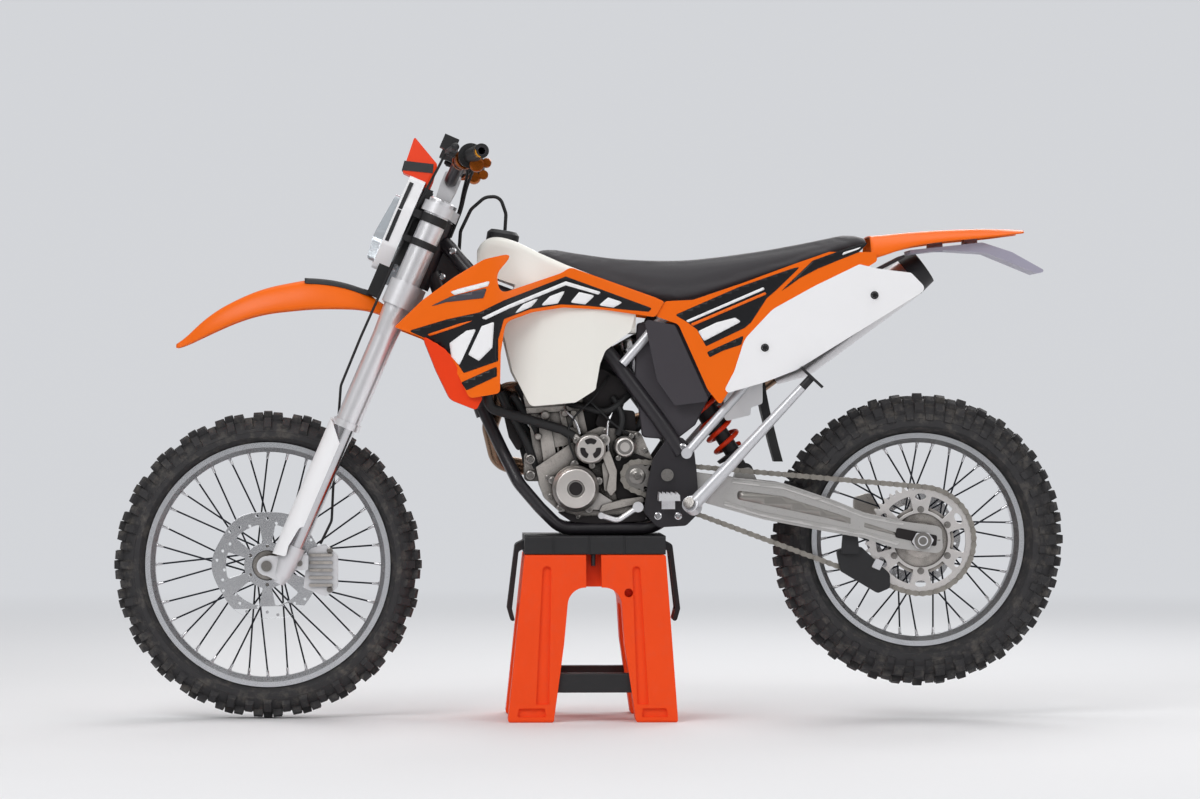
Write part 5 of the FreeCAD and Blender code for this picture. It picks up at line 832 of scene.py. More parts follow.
# Rows of knobs: shift in pitches, angle from the middle, length, width, height share, and which pitches have it
FRONT_ROWS = ((0.0, 9, 20, 16, 0.97, 0), (0.5, 27, 21, 15, 0.97, -1), (0.0, 50, 17, 25, 0.62, 1),
              (0.0, 56, 17, 27, 0.6, 0))
REAR_ROWS = ((0.0, 0, 20, 34, 0.95, 0), (0.0, 20, 21, 20, 0.95, 1), (0.5, 33, 20, 22, 0.9, -1),
             (0.0, 55, 22, 24, 0.6, -1), (0.5, 78, 17, 14, 0.3, -1))


class BIKE_OT_tyres(bpy.types.Operator):
    """Makes both knobbed tyres"""

    bl_idname = "bike.tyres"
    bl_label = "Tyres"

    def execute(self, context):
        bike = settings()
        front = make_tyre("front", FRONT_AXLE, FRONT_TYRE, FRONT_RIM, bike.front_pitches, FRONT_ROWS)
        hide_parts("front_tyre")
        rear = make_tyre("rear", REAR_AXLE, REAR_TYRE, REAR_RIM, bike.rear_pitches, REAR_ROWS)
        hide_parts("rear_tyre")
        return {"FINISHED"}


def spoke_ends(axle, rim_radius, index, flange):
    """The hub end and the rim end of one spoke, as the CAD spokes lie."""
    flange_radius, flange_y = flange
    side = -1 if index % 2 else 1
    outer = (index // 2) % 2 == 0
    at_rim = math.radians(index * 360.0 / SPOKES)
    at_hub = at_rim + math.radians(55.0 if outer else -55.0)
    hub_y = side * (flange_y + 5.7 * (1 if outer else -1))
    rim_y = side * (9.0 if outer else 4.0)
    reach = rim_radius - 22.8
    start = axle + Vector((math.cos(at_hub) * flange_radius, hub_y, math.sin(at_hub) * flange_radius))
    end = axle + Vector((math.cos(at_rim) * reach, rim_y, math.sin(at_rim) * reach))
    return start, end


class BIKE_OT_wheels(bpy.types.Operator):
    """Adds the bright nipples where the spokes of both wheels meet the rim"""

    bl_idname = "bike.wheels"
    bl_label = "Wheels"

    def execute(self, context):
        profile = [(0.0, -15), (2.6, -15), (3.1, -13), (3.1, -3), (4.2, -2), (4.2, 1.0), (0.0, 1.0)]
        for end, axle, rim, flange in (("front", FRONT_AXLE, FRONT_RIM, FRONT_FLANGE),
                                       ("rear", REAR_AXLE, REAR_RIM, REAR_FLANGE)):
            bag = Bag()
            for index in range(SPOKES):
                inner, outer = spoke_ends(axle, rim[0], index, flange)
                bag.lathe(profile, outer, outer - inner, 10)
            bag.piece(end + "_nipples", "chrome", end + "_wheel", 40.0)
        return {"FINISHED"}


def make_disc(end, middle, radius, wave, bore, window, hole, hole_count, reaches, bolt_reach=0):
    """A waved brake disc with six windows and rings of small holes; bolt holes stand at their own distance."""
    inner, outer, half, corner = window
    loops = [ring_loop(radius, 144, wave, 6), ring_loop(bore, 48)]
    for index in range(6):
        turn = math.tau * index / 6
        loops.append(sector_loop(inner, outer, turn, math.radians(half), corner))
        if bolt_reach:
            loops.append(ring_loop(4.2, 12, centre=around(ORIGIN, bolt_reach, turn + 0.52)))
    for index in range(hole_count):
        turn = math.tau * (index + 0.5) / hole_count
        loops.append(ring_loop(hole, 10, centre=around(ORIGIN, reaches[index % len(reaches)], turn)))
    return cut_plate(end + "_disc_waved", loops, middle, 3.0, end + "_disc", end + "_wheel")


class BIKE_OT_discs(bpy.types.Operator):
    """Makes the two waved brake discs with their cut windows and holes"""

    bl_idname = "bike.discs"
    bl_label = "Brake Discs"

    def execute(self, context):
        front = make_disc("front", FRONT_AXLE + LEFT * 64, 123.0, 2.6, 34.5, (52.0, 94.0, 19, 7.0), 3.6, 30,
                          (97.5, 106.0, 114.5), bolt_reach=44)
        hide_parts("front_disc")
        rear = make_disc("rear", REAR_AXLE + RIGHT * 84, 106.0, 3.6, 38.5, (54.0, 78.0, 20, 6.0), 3.4, 24,
                         (93.0, 98.0))
        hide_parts("rear_disc")
        return {"FINISHED"}


# Chain drive

def pitch_radius(teeth):
    """The radius on which a sprocket carries its chain."""
    return CHAIN_PITCH / (2 * math.sin(math.pi / teeth))


def direction(angle):
    """The direction at an angle in the machine's side view."""
    return Vector((math.cos(angle), 0, math.sin(angle)))


def chain_path(distance):
    """The place on the chain's pitch line, a way along it, and the whole length of the line."""
    small = pitch_radius(FRONT_TEETH)
    large = pitch_radius(REAR_TEETH)
    span = REAR_AXLE - DRIVE_CENTRE
    lean = math.asin((large - small) / span.length)
    heading = math.atan2(span.z, span.x)
    run = span.length * math.cos(lean)
    round_rear = large * (math.pi + 2 * lean)
    total = 2 * run + round_rear + small * (math.pi - 2 * lean)
    at = distance % total
    up = heading + math.pi / 2 + lean
    down = heading - math.pi / 2 - lean
    if at < run:
        return DRIVE_CENTRE + direction(up) * small + direction(heading + lean) * at, total
    at -= run
    if at < round_rear:
        return REAR_AXLE + direction(up - at / large) * large, total
    at -= round_rear
    if at < run:
        return REAR_AXLE + direction(down) * large - direction(heading - lean) * at, total
    at -= run
    return DRIVE_CENTRE + direction(down - at / small) * small, total


def add_link_plate(bag, start, end, y, height, thickness):
    """Adds one side plate of a chain link, waisted between its pins."""
    way = (end - start).normalized()
    up = RIGHT.cross(way)
    middle = (start + end) / 2
    half = (end - start).length / 2
    outline = []
    for sign in (1, -1):
        for step in range(7):
            angle = math.pi * (step / 6 - 0.5)
            outline.append((way * (half + height * math.cos(angle)) + up * (height * math.sin(angle))) * sign)
        outline.append(up * (height * 0.72 * sign))
    bag.grid([[middle + point + RIGHT * (y + side * thickness / 2) for point in outline] for side in (-1, 1)])


def tooth_loop(teeth, root, tip):
    """The toothed outline of a sprocket."""
    loop = []
    for index in range(teeth):
        middle = math.tau * (index + 0.5) / teeth
        pitch = math.tau / teeth
        for share, reach in ((-0.5, root), (-0.34, root + 0.6), (-0.2, (root + tip) / 2), (-0.08, tip), (0.08, tip),
                             (0.2, (root + tip) / 2), (0.34, root + 0.6)):
            angle = middle + share * pitch
            loop.append((reach * math.cos(angle), reach * math.sin(angle)))
    return loop


def oval_loop(centre, length, width, angle, steps=16):
    """A rounded slot lying across a radius."""
    loop = []
    for step in range(steps):
        turn = math.tau * step / steps
        x = width / 2 * math.cos(turn)
        y = length / 2 * math.sin(turn)
        loop.append((centre[0] + x * math.cos(angle) - y * math.sin(angle),
                     centre[1] + x * math.sin(angle) + y * math.cos(angle)))
    return loop


class BIKE_OT_chain(bpy.types.Operator):
    """Makes the drive chain, link by link round both sprockets"""

    bl_idname = "bike.chain"
    bl_label = "Chain"

    def execute(self, context):
        total = chain_path(0.0)[1]
        count = 2 * round(total / CHAIN_PITCH / 2)
        plates = Bag()
        rollers = Bag()
        for index in range(count):
            start = chain_path(index * total / count)[0]
            end = chain_path((index + 1) * total / count)[0]
            offset = 6.3 if index % 2 else 4.4
            for side in (-1, 1):
                add_link_plate(plates, start, end, CHAIN_Y + side * offset, 6.4, 1.7)
            rollers.lathe([(0, -7.6), (2.6, -7.6), (2.6, -3.4), (5.0, -3.4), (5.0, 3.4), (2.6, 3.4), (2.6, 7.6),
                           (0, 7.6)], start + RIGHT * CHAIN_Y, RIGHT, 10)
        links = plates.piece("chain_links", "chain_steel")
        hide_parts("chain")
        rollers.piece("chain_rollers", "chain_steel")
        return {"FINISHED"}


class BIKE_OT_sprockets(bpy.types.Operator):
    """Makes the driven sprocket with its windows, and the small toothed one in front"""

    bl_idname = "bike.sprockets"
    bl_label = "Sprockets"

    def execute(self, context):
        root = pitch_radius(REAR_TEETH) - 5.0
        loops = [tooth_loop(REAR_TEETH, root, root + 9.5), ring_loop(62.5, 60)]
        bolts = Bag()
        for index in range(6):
            angle = math.tau * index / 6
            between = angle + math.tau / 12
            loops.append(sector_loop(68.0, 103.0, angle, math.radians(16.5), 15.0))
            loops.append(oval_loop(around(ORIGIN, 99, between), 27, 16, between))
            bolts.lathe([(0, 7.0), (4.6, 7.0), (5.2, 6.0), (5.2, 2.4), (8.0, 2.0), (8.0, 0)],
                        REAR_AXLE + direction(between) * 70 + RIGHT * (CHAIN_Y - 3), LEFT, 12)
        plate = cut_plate("rear_sprocket_plate", loops, REAR_AXLE + RIGHT * CHAIN_Y, 6.0, "sprocket_plate",
                          "rear_wheel", 0.6)
        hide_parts("rear_sprocket")
        bolts.piece("sprocket_bolts", "steel", "rear_wheel")
        root = pitch_radius(FRONT_TEETH) - 5.0
        cut_plate("front_sprocket_teeth", [tooth_loop(FRONT_TEETH, root, root + 9.0), ring_loop(11.2, 24)],
                  DRIVE_CENTRE + RIGHT * (CHAIN_Y - 1), 6.0, "steel", "chassis", 0.5)
        return {"FINISHED"}


class BIKE_OT_spring(bpy.types.Operator):
    """Makes the coil spring of the shock"""

    bl_idname = "bike.spring"
    bl_label = "Shock Spring"

    def execute(self, context):
        bike = settings()
        foot, top, outside = 54, 268, 38.0
        axis = (SHOCK_TOP - SHOCK_FOOT).normalized()
        side = axis.orthogonal().normalized()
        other = axis.cross(side)
        wire = bike.spring_wire / MM / 2
        low, high = foot + wire, top - wire
        steps = int(bike.spring_coils * 28)
        rows = []
        for step in range(steps + 1):
            turn = math.tau * bike.spring_coils * step / steps
            out = side * math.cos(turn) + other * math.sin(turn)
            centre = SHOCK_FOOT + axis * (low + (high - low) * step / steps) + out * (outside - wire)
            rows.append([centre + out * (wire * math.cos(a)) + axis * (wire * math.sin(a))
                         for a in (math.tau * k / 10 for k in range(10))])
        bag = Bag()
        bag.grid(rows)
        spring = bag.piece("spring_coil", "spring_paint")
        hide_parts("shock_spring")
        return {"FINISHED"}


# Body panels with their stripes

SHROUD_OUTLINE = [(-446, 889, 3), (-383, 949, 60), (-312, 1000, 80), (-245, 1040, 60), (-176, 1056, 10),
                  (-216, 1008, 30), (-210, 962, 20), (-69, 1011, 60), (-50, 1024, 20), (142, 957, 10), (164, 947, 4),
                  (143, 912, 10), (27, 928, 80), (-66, 933, 80), (-135, 922, 60), (-196, 900, 30), (-207, 830, 60),
                  (-209, 740, 12), (-277, 728, 14), (-304, 783, 60), (-335, 834, 60), (-386, 866, 40)]
SHROUD_LOW_PLAN = [(-460, -150), (-380, -172), (-290, -214), (-200, -222), (-120, -176), (0, -157), (170, -124)]
SHROUD_HIGH_PLAN = [(-460, -150), (-380, -168), (-290, -204), (-200, -196), (-120, -160), (0, -150), (170, -122)]
SHROUD_WALL = wall(700, SHROUD_LOW_PLAN, 1070, SHROUD_HIGH_PLAN)

# Stripes: finish and outline
SHROUD_STRIPES = [
    ("white_plastic", [(-322, 967), (-300, 974), (-230, 992), (-236, 980), (-310, 960)]),
    ("decal_grey", [(-372, 932), (-318, 957), (-238, 976), (-246, 953), (-330, 944)]),
    ("decal_black", [(-414, 880), (-330, 905), (-255, 921), (-200, 948), (-60, 1003), (136, 932), (128, 924), (60, 930),
                     (-10, 937), (-70, 940), (-140, 929), (-200, 906), (-213, 860), (-213, 812), (-290, 785),
                     (-314, 822), (-350, 852)]),
    ("orange_plastic", [(-372, 872), (-300, 896), (-262, 905), (-300, 890), (-366, 868)]),
    ("white_plastic", [(-252, 908), (-190, 938), (-60, 992), (20, 968), (14, 962), (-60, 983), (-190, 929),
                       (-240, 905)]),
    ("white_plastic", [(-322, 852), (-284, 880), (-262, 884), (-300, 802), (-318, 822)]),
    ("white_plastic", [(-280, 826), (-250, 890), (-222, 900), (-226, 842), (-256, 812)]),
    ("white_plastic", [(-180, 916), (-156, 940), (-118, 956), (-138, 934), (-152, 928)]),
    ("white_plastic", [(-118, 936), (-96, 958), (-60, 972), (-78, 942)]),
    ("white_plastic", [(-50, 944), (-30, 968), (6, 960), (-16, 940)]),
    ("white_plastic", [(14, 938), (36, 956), (70, 945), (48, 933)]),
    ("decal_black", [(-296, 764), (-216, 800), (-216, 778), (-284, 746)]),
]
PANEL_LOW_PLAN = [(130, -128), (300, -134), (420, -140), (560, -146), (780, -142)]
PANEL_HIGH_PLAN = [(130, -118), (300, -119), (420, -120), (560, -122), (780, -112)]
PANEL_WALL = wall(700, PANEL_LOW_PLAN, 1060, PANEL_HIGH_PLAN)

SIDE_STRIPES = [
    ("decal_black", [(188, 917), (332, 980), (450, 1021), (474, 1028), (416, 972), (396, 955), (360, 900), (346, 888),
                     (258, 846), (238, 884), (214, 902)]),
    ("white_plastic", [(212, 904), (388, 980), (392, 975), (218, 900)]),
    ("orange_plastic", [(223, 897), (392, 969), (396, 964), (228, 892)]),
    ("white_plastic", [(240, 880), (282, 900), (324, 911), (338, 902), (254, 858)]),
    ("decal_black", [(260, 833), (344, 871), (338, 850), (296, 836), (266, 821)]),
    ("decal_black", [(418, 962), (470, 1000), (512, 1022), (606, 1060), (630, 1084), (560, 1062), (500, 1040)]),
    ("white_plastic", [(566, 1052), (604, 1066), (612, 1072), (570, 1059)]),
]


class BIKE_OT_shrouds(bpy.types.Operator):
    """Makes the orange radiator shrouds with stripes, and the red louvres in front"""

    bl_idname = "bike.shrouds"
    bl_label = "Shrouds"

    def execute(self, context):
        shroud = shell_piece("shroud_shells", rounded(SHROUD_OUTLINE), SHROUD_WALL, "orange_plastic", cell=8.0)
        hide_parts("radiator_shrouds")
        lay_stripes("shroud_stripe", SHROUD_STRIPES, SHROUD_WALL, 0.85)
        louvre = [(-384, 871, 6), (-330, 838, 30), (-300, 790, 30), (-266, 736, 10), (-246, 732, 6), (-262, 702, 8),
                  (-320, 725, 30), (-352, 791, 40)]
        frame = Bag()
        frame.prism(rounded(louvre), -203, -118)
        frame.piece("louvre_frames", "red_plastic", smooth=30.0, twin=True)
        return {"FINISHED"}


class BIKE_OT_side_panels(bpy.types.Operator):
    """Lays the stripes on both orange side panels and adds the bolts of the white panels"""

    bl_idname = "bike.side_panels"
    bl_label = "Side Panels"

    def execute(self, context):
        lay_stripes("side_stripe", SIDE_STRIPES, PANEL_WALL, 0.7)
        bolts = Bag()
        for x, z in ((391, 843), (640, 962)):
            bolts.bolt_on("number_panels", x, z, 6.5)
        bolts.piece("panel_bolts", "black_plastic", twin=True)
        return {"FINISHED"}


# Seat

SEAT_LINE = [(-126, 1060), (-60, 1028), (48, 984), (140, 956), (215, 948), (306, 979), (402, 1010), (498, 1042),
             (634, 1086)]

SEAT_ENDS = (-124, 628)
SEAM_HEIGHT = 0.86
SEAM_WIDTH = 9.0
SEAM_DEPTH = 1.8
SWELL_FRAMES = 20

# Seat tops: x, half width, height, half width of the top
SEAT_TOPS = [(-126, 40, 1074, 30), (-60, 62, 1059, 48), (48, 84, 1043, 62), (140, 100, 1038, 72),
             (215, 106, 1038, 80), (306, 108, 1048, 88), (402, 106, 1062, 90), (498, 102, 1080, 88),
             (600, 92, 1102, 78), (630, 84, 1100, 72)]


def swell(obj, voxel, pressure, cap, held):
    """Lets a padded piece swell like stuffed cloth: no point moves more than the cap, held points stay."""
    scene = bpy.context.scene
    remesh = obj.modifiers.new("Remesh", "REMESH")
    remesh.mode = "VOXEL"
    remesh.voxel_size = voxel
    remesh.use_smooth_shade = True
    finish = obj.data.materials[0]
    obj.data = bpy.data.meshes.new_from_object(obj.evaluated_get(bpy.context.evaluated_depsgraph_get()))
    obj.modifiers.clear()
    work = bmesh.new()
    work.from_mesh(obj.data)
    for _ in range(4):
        bmesh.ops.smooth_vert(work, verts=work.verts, factor=0.5, use_axis_x=True, use_axis_y=True, use_axis_z=True)
    work.to_mesh(obj.data)
    work.free()
    obj.data.materials.clear()
    obj.data.materials.append(finish)
    start = [vert.co.copy() for vert in obj.data.vertices]
    group = obj.vertex_groups.new(name="held")
    group.add([index for index, place in enumerate(start) if held(place)], 1.0, "REPLACE")
    cloth = obj.modifiers.new("Cloth", "CLOTH")
    cloth.settings.quality = 6
    cloth.settings.mass = 0.4
    cloth.settings.tension_stiffness = 20.0
    cloth.settings.compression_stiffness = 12.0
    cloth.settings.bending_stiffness = 2.0
    cloth.settings.use_pressure = True
    cloth.settings.uniform_pressure_force = pressure
    cloth.settings.effector_weights.gravity = 0.0
    cloth.settings.vertex_group_mass = "held"
    cloth.point_cache.frame_start = 1
    cloth.point_cache.frame_end = SWELL_FRAMES
    for frame in range(1, SWELL_FRAMES + 1):
        scene.frame_set(frame)
    swollen = obj.evaluated_get(bpy.context.evaluated_depsgraph_get())
    moves = [vert.co - place for vert, place in zip(swollen.data.vertices, start)]
    obj.modifiers.clear()
    obj.vertex_groups.clear()
    scene.frame_set(1)
    for vert, place, move in zip(obj.data.vertices, start, moves):
        vert.co = place + (move.normalized() * cap if move.length > cap else move)
    smooth_faces(obj.data)


def seat_form(x):
    """The seat's foot, its height over it and the half width of its top, at x."""
    foot = eased(SEAT_LINE, x) - 5.0
    return foot, eased(SEAT_TOPS, x, 2) - 1.0 - foot, eased(SEAT_TOPS, x, 3)


def press_seam(vert):
    """Presses the cover in along the seam between the seat's top and its sides."""
    x = vert.co.x / MM
    if not SEAT_ENDS[0] + 14 < x < SEAT_ENDS[1] - 12:
        return
    foot, tall, upper = seat_form(x)
    seam = Vector((upper * 0.99, foot + SEAM_HEIGHT * tall))
    across = Vector((abs(vert.co.y) / MM, vert.co.z / MM))
    near = 1.0 - (across - seam).length / SEAM_WIDTH
    if near > 0:
        inward = Vector((seam.x * 0.6, foot + 0.4 * tall)) - across
        shift = inward.normalized() * (SEAM_DEPTH * near) * MM
        vert.co.y += math.copysign(shift.x, vert.co.y)
        vert.co.z += shift.y


class BIKE_OT_seat(bpy.types.Operator):
    """Makes the long padded seat: crowned top, tight sides and a rolled lower edge"""

    bl_idname = "bike.seat"
    bl_label = "Seat"

    def execute(self, context):
        rows = []
        steps = 60
        for step in range(steps + 1):
            x = SEAT_ENDS[0] + (SEAT_ENDS[1] - SEAT_ENDS[0]) * step / steps
            wide = eased(SEAT_TOPS, x) - 1.0
            foot, full, upper = seat_form(x)
            close = min(1.0, (step + 0.6) / 2.5, (steps - step + 0.6) / 2.5)
            tall = max(6.0, full * (0.55 + 0.45 * close))
            section = [(-wide * 0.86, 0), (-wide, 0.1), (-wide * 0.985, 0.3), (-(wide + upper) / 2 - 2, 0.62),
                       (-upper * 0.99, SEAM_HEIGHT), (-upper * 0.84, 0.96), (-upper * 0.5, 1.0), (0, 1.012)]
            rows.append(arch(x, foot, tall, section))
        bag = Bag()
        bag.grid(rows)
        seat = bag.piece("seat_pad", "seat_cover", smooth=60.0)
        swell(seat, 0.006, 4.0, 0.005, lambda place: place.z < (eased(SEAT_LINE, place.x / MM) + 9.0) * MM)
        for vert in seat.data.vertices:
            press_seam(vert)
        seat.modifiers.new("Smooth", "SUBSURF").render_levels = 1
        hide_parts("seat")
        return {"FINISHED"}


# Fenders

# Stations: x, height and half width of the edge, height and half width of the top
FRONT_FENDER_STATIONS = [
    (-942, 838, 26, 843, 22), (-905, 856, 40, 884, 34), (-862, 877, 52, 922, 42), (-800, 905, 62, 956, 48),
    (-740, 922, 66, 980, 50), (-632, 933, 67, 1001, 50), (-560, 933, 66, 991, 48), (-512, 931, 64, 975, 46),
    (-476, 920, 60, 944, 44), (-440, 902, 54, 924, 40), (-398, 882, 46, 902, 34)]
# The thin black strip over the front fender's top rear
FENDER_TOP_STATIONS = [(-650, 990, 52, 1003, 45), (-600, 987, 52, 1000, 45), (-560, 980, 52, 993, 45),
                       (-520, 967, 52, 980, 43), (-500, 957, 51, 970, 42)]
REAR_FENDER_STATIONS = [(634, 1042, 112, 1098, 84), (724, 1074, 104, 1107, 78), (807, 1086, 96, 1113, 71),
                        (896, 1094, 88, 1116, 66), (960, 1102, 84, 1114, 62), (986, 1108, 78, 1112, 58)]


def fender_piece(name, stations, steps, look, body):
    """A fender: a smooth arch with soft shoulders and a raised spine."""
    low, high = stations[0][0], stations[-1][0]
    rows = []
    for step in range(steps + 1):
        x = low + (high - low) * step / steps
        foot, half_low, top, half_top = (eased(stations, x, column) for column in (1, 2, 3, 4))
        section = [(-half_low, 0.0), (-half_low * 0.98, 0.25), (-(half_low + half_top) / 2, 0.6), (-half_top, 0.88),
                   (-half_top * 0.86, 0.985), (-half_top * 0.45, 0.99), (-half_top * 0.36, 1.0), (0, 1.0)]
        rows.append(arch(x, foot, top - foot, section))
    bag = Bag()
    bag.grid(rows, closed_columns=False, caps=False)
    obj = bag.piece(name, look, body, 60.0)
    if sum(face.normal.z for face in obj.data.polygons) < 0:
        obj.data.flip_normals()
    obj.modifiers.new("Smooth", "SUBSURF").render_levels = 1
    solid = obj.modifiers.new("Thickness", "SOLIDIFY")
    solid.thickness = 3.0 * MM
    solid.offset = -1.0
    return obj


class BIKE_OT_fenders(bpy.types.Operator):
    """Makes the front fender with a thin black strip over its top rear, and the rear fender"""

    bl_idname = "bike.fenders"
    bl_label = "Fenders"

    def execute(self, context):
        front = fender_piece("front_fender_shell", FRONT_FENDER_STATIONS, 40, "orange_plastic", "steering")
        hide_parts("front_fender")
        rear = fender_piece("rear_fender_shell", REAR_FENDER_STATIONS, 24, "orange_plastic", "chassis")
        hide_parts("rear_fender")
        # A thin black strip laid over the front fender's top rear.
        fender_piece("fender_cap", FENDER_TOP_STATIONS, 12, "black_plastic", "steering")
        return {"FINISHED"}


# Engine

CASE_BOLTS = [(-98, 548), (-92, 506), (-66, 476), (-30, 459), (30, 459), (70, 459), (118, 476), (124, 520), (128, 562),
              (124, 610), (104, 644), (34, 654)]

# Dark plates of painted shade in the engine's recesses, with the dark case behind the sprocket: outline with corner
# radii, inner and outer distance in Y
SHADE_BLOCKS = [
    ([(30, 566, 6), (56, 598, 10), (98, 604, 10), (136, 590, 6), (131, 520, 6), (130, 486, 8), (62, 494, 8),
      (52, 528, 8)], -77.5, -73.0),
    ([(30, 646, 6), (104, 650, 8), (100, 700, 10), (20, 708, 10), (10, 672, 8)], -62, -20),
    ([(-44, 640, 6), (40, 644, 8), (60, 720, 10), (-34, 722, 10)], -36, -10),
    ([(-200, 700, 6), (-164, 712, 8), (-146, 640, 8), (-164, 604, 8), (-186, 640, 8)], -46, -14),
    ([(-18, 706, 6), (70, 700, 8), (92, 760, 10), (20, 800, 10), (-16, 776, 8)], -58, -10),
    ([(-86, 476, 6), (-44, 448, 10), (10, 443, 10), (122, 450, 10), (128, 474, 6), (60, 464, 8), (-30, 460, 10)],
     -78.0, -73.0),
    ([(*point, 0) for point in ring_loop(15, 20, centre=IGNITION)], -117.0, -112.0),
]
CAST_BLOCKS = [
    ([(24, 600, 4), (40, 612, 4), (58, 566, 6), (56, 520, 6), (44, 506, 4), (34, 520, 4), (40, 556, 6)], -98.0, -90.0),
    ([(16, 470, 4), (24, 486, 4), (70, 500, 6), (118, 506, 6), (122, 494, 4), (76, 482, 6)], -92.0, -72.0),
]

# Hoses and lines: name, routes, radius, finish
ENGINE_LINES = [
    ("oil_line", [[(-26, -92, 648), (-34, -92, 680), (-60, -84, 700), (-58, -64, 726), (-58, -50, 740)],
                  [(38, -84, 560), (40, -88, 610), (34, -82, 660), (48, -74, 700), (60, -60, 720)]], 3.2, "chrome"),
    ("engine_hoses", [[(-56, -50, 716), (-20, -76, 712), (30, -80, 694), (66, -74, 716), (92, -50, 742)],
                      [(96, -40, 650), (112, -64, 664), (120, -70, 700), (104, -60, 750), (96, -40, 790)],
                      [(60, -78, 646), (72, -84, 668), (70, -78, 700), (50, -60, 730)]], 8.0, "rubber"),
    ("front_hoses", [[(-204, -64, 742), (-184, -62, 700), (-156, -58, 650), (-136, -54, 606), (-126, -50, 570)],
                     [(-196, -24, 742), (-172, -26, 700), (-146, -26, 655), (-124, -30, 618)],
                     [(-178, -60, 736), (-158, -52, 706), (-132, -46, 672), (-116, -50, 640)],
                     [(-214, -8, 760), (-196, -10, 720), (-170, -10, 668), (-150, -14, 610), (-142, -16, 572)],
                     [(-166, -40, 760), (-150, -40, 728), (-134, -40, 700)]], 9.5, "rubber"),
    ("engine_wires", [[(-36, -96, 590), (-60, -100, 640), (-40, -96, 690), (10, -90, 730), (40, -60, 780)],
                      [(100, -80, 640), (60, -90, 660), (20, -92, 700), (-20, -80, 740), (-40, -60, 780)]], 2.4,
     "rubber"),
]


def add_boss_bolts(bag, centre, reach, turns, profile, y, top, radius):
    """Adds round bosses with a bolt on each, at turns in degrees round a cover's centre."""
    for turn in turns:
        x, z = around(centre, reach, math.radians(turn))
        bag.lathe(profile, Vector((x, y, z)), LEFT, 16)
        bag.bolt(Vector((x, top, z)), LEFT, radius)


class BIKE_OT_engine(bpy.types.Operator):
    """Adds the bolts, the dark plates of painted shade, castings, lines and hoses of the engine's open sides"""

    bl_idname = "bike.engine"
    bl_label = "Engine Trim"

    def execute(self, context):
        bolts = Bag()
        for x, z in CASE_BOLTS:
            for side in (-1, 1):
                bolts.bolt_on("crankcase", x, z, 4.6, side)
        for turn in (18, 92, 160, 232, 304):
            bolts.bolt_on("engine_covers", *around(IGNITION, 56, math.radians(turn)), 4.8)
        add_boss_bolts(bolts, PUMP, 38, (33, 150, 275), [(0, -16), (7, -16), (7, 8), (6, 9), (0, 9)], -90, -99, 4.4)
        add_boss_bolts(bolts, STARTER, 29, (60, 240), [(0, -12), (6, -12), (6, 8), (0, 8)], -82, -90, 4.0)
        for z in (590, 554):
            bolts.bolt_on("crankcase", -138, z, 7.5)
        nut = DRIVE_CENTRE + RIGHT * (CHAIN_Y - 4)
        bolts.lathe([(0, -4), (19, -4), (19, 2), (16, 4), (0, 4)], nut, LEFT, 28)
        bolts.bolt(nut + LEFT * 4, LEFT, 8.5)
        bolts.piece("engine_bolts", "steel")

        # Dark plates and pump-cover arcs: painted shade in the engine's recesses
        shade_plates = Bag()
        for outline, low, high in SHADE_BLOCKS:
            shade_plates.side_block(rounded(outline), low, high)
        for turn in (90, 210, 330):
            arc = sector_loop(12.0, 24.0, math.radians(turn), math.radians(38), 3.0, 4)
            shade_plates.side_block([(PUMP[0] + x, PUMP[1] + z) for x, z in arc], -106.8, -100.0, 0.2)
        shade_plates.piece("engine_bays", "dark_casting", smooth=30.0)

        cast = Bag()
        for outline, low, high in CAST_BLOCKS:
            cast.side_block(rounded(outline), low, high)
        for step in range(7):
            cast.box(Vector((-112 + step * 12, -55, 625)), AFT, RIGHT, Vector((-0.12, 0, 1)).normalized(),
                     (2.2, 6, 30))
        for x, z, r in ((-104, 690, 10), (-60, 694, 8), (-120, 642, 8)):
            cast.lathe([(0, -8), (r, -8), (r, 10), (r - 2, 12), (0, 12)], Vector((x, -60, z)), LEFT, 20)
        cast.piece("engine_castings", "cast_aluminium", smooth=30.0)
        for name, routes, radius, look in ENGINE_LINES:
            tube_piece(name, routes, radius, look)
        return {"FINISHED"}


# Frame and swingarm

# Panels laid on the swingarm: outline, corner radius, finish, thickness, lift, bevel
ARM_PANELS = {
    "arm_ribs_top": ([(318, 545), (434, 532), (546, 494), (617, 465), (706, 446), (706, 440), (617, 458), (546, 486),
                      (434, 523), (318, 537)], 4, "swingarm_aluminium", 3.0, 1.6, 0.8),
    "arm_ribs_low": ([(300, 486), (390, 460), (531, 433), (617, 418), (690, 396), (700, 404), (617, 427), (531, 443),
                      (390, 470), (300, 496)], 4, "swingarm_aluminium", 3.0, 1.2, 0.8),
    # A thin darker sheet along the swingarm's groove: painted shade of the recess.
    "arm_grooves": ([(330, 520), (434, 506), (546, 470), (640, 440), (690, 424), (690, 418), (620, 436), (531, 458),
                     (400, 486), (330, 500)], 8, "arm_shade", 1.0, 0.3, 0),
}


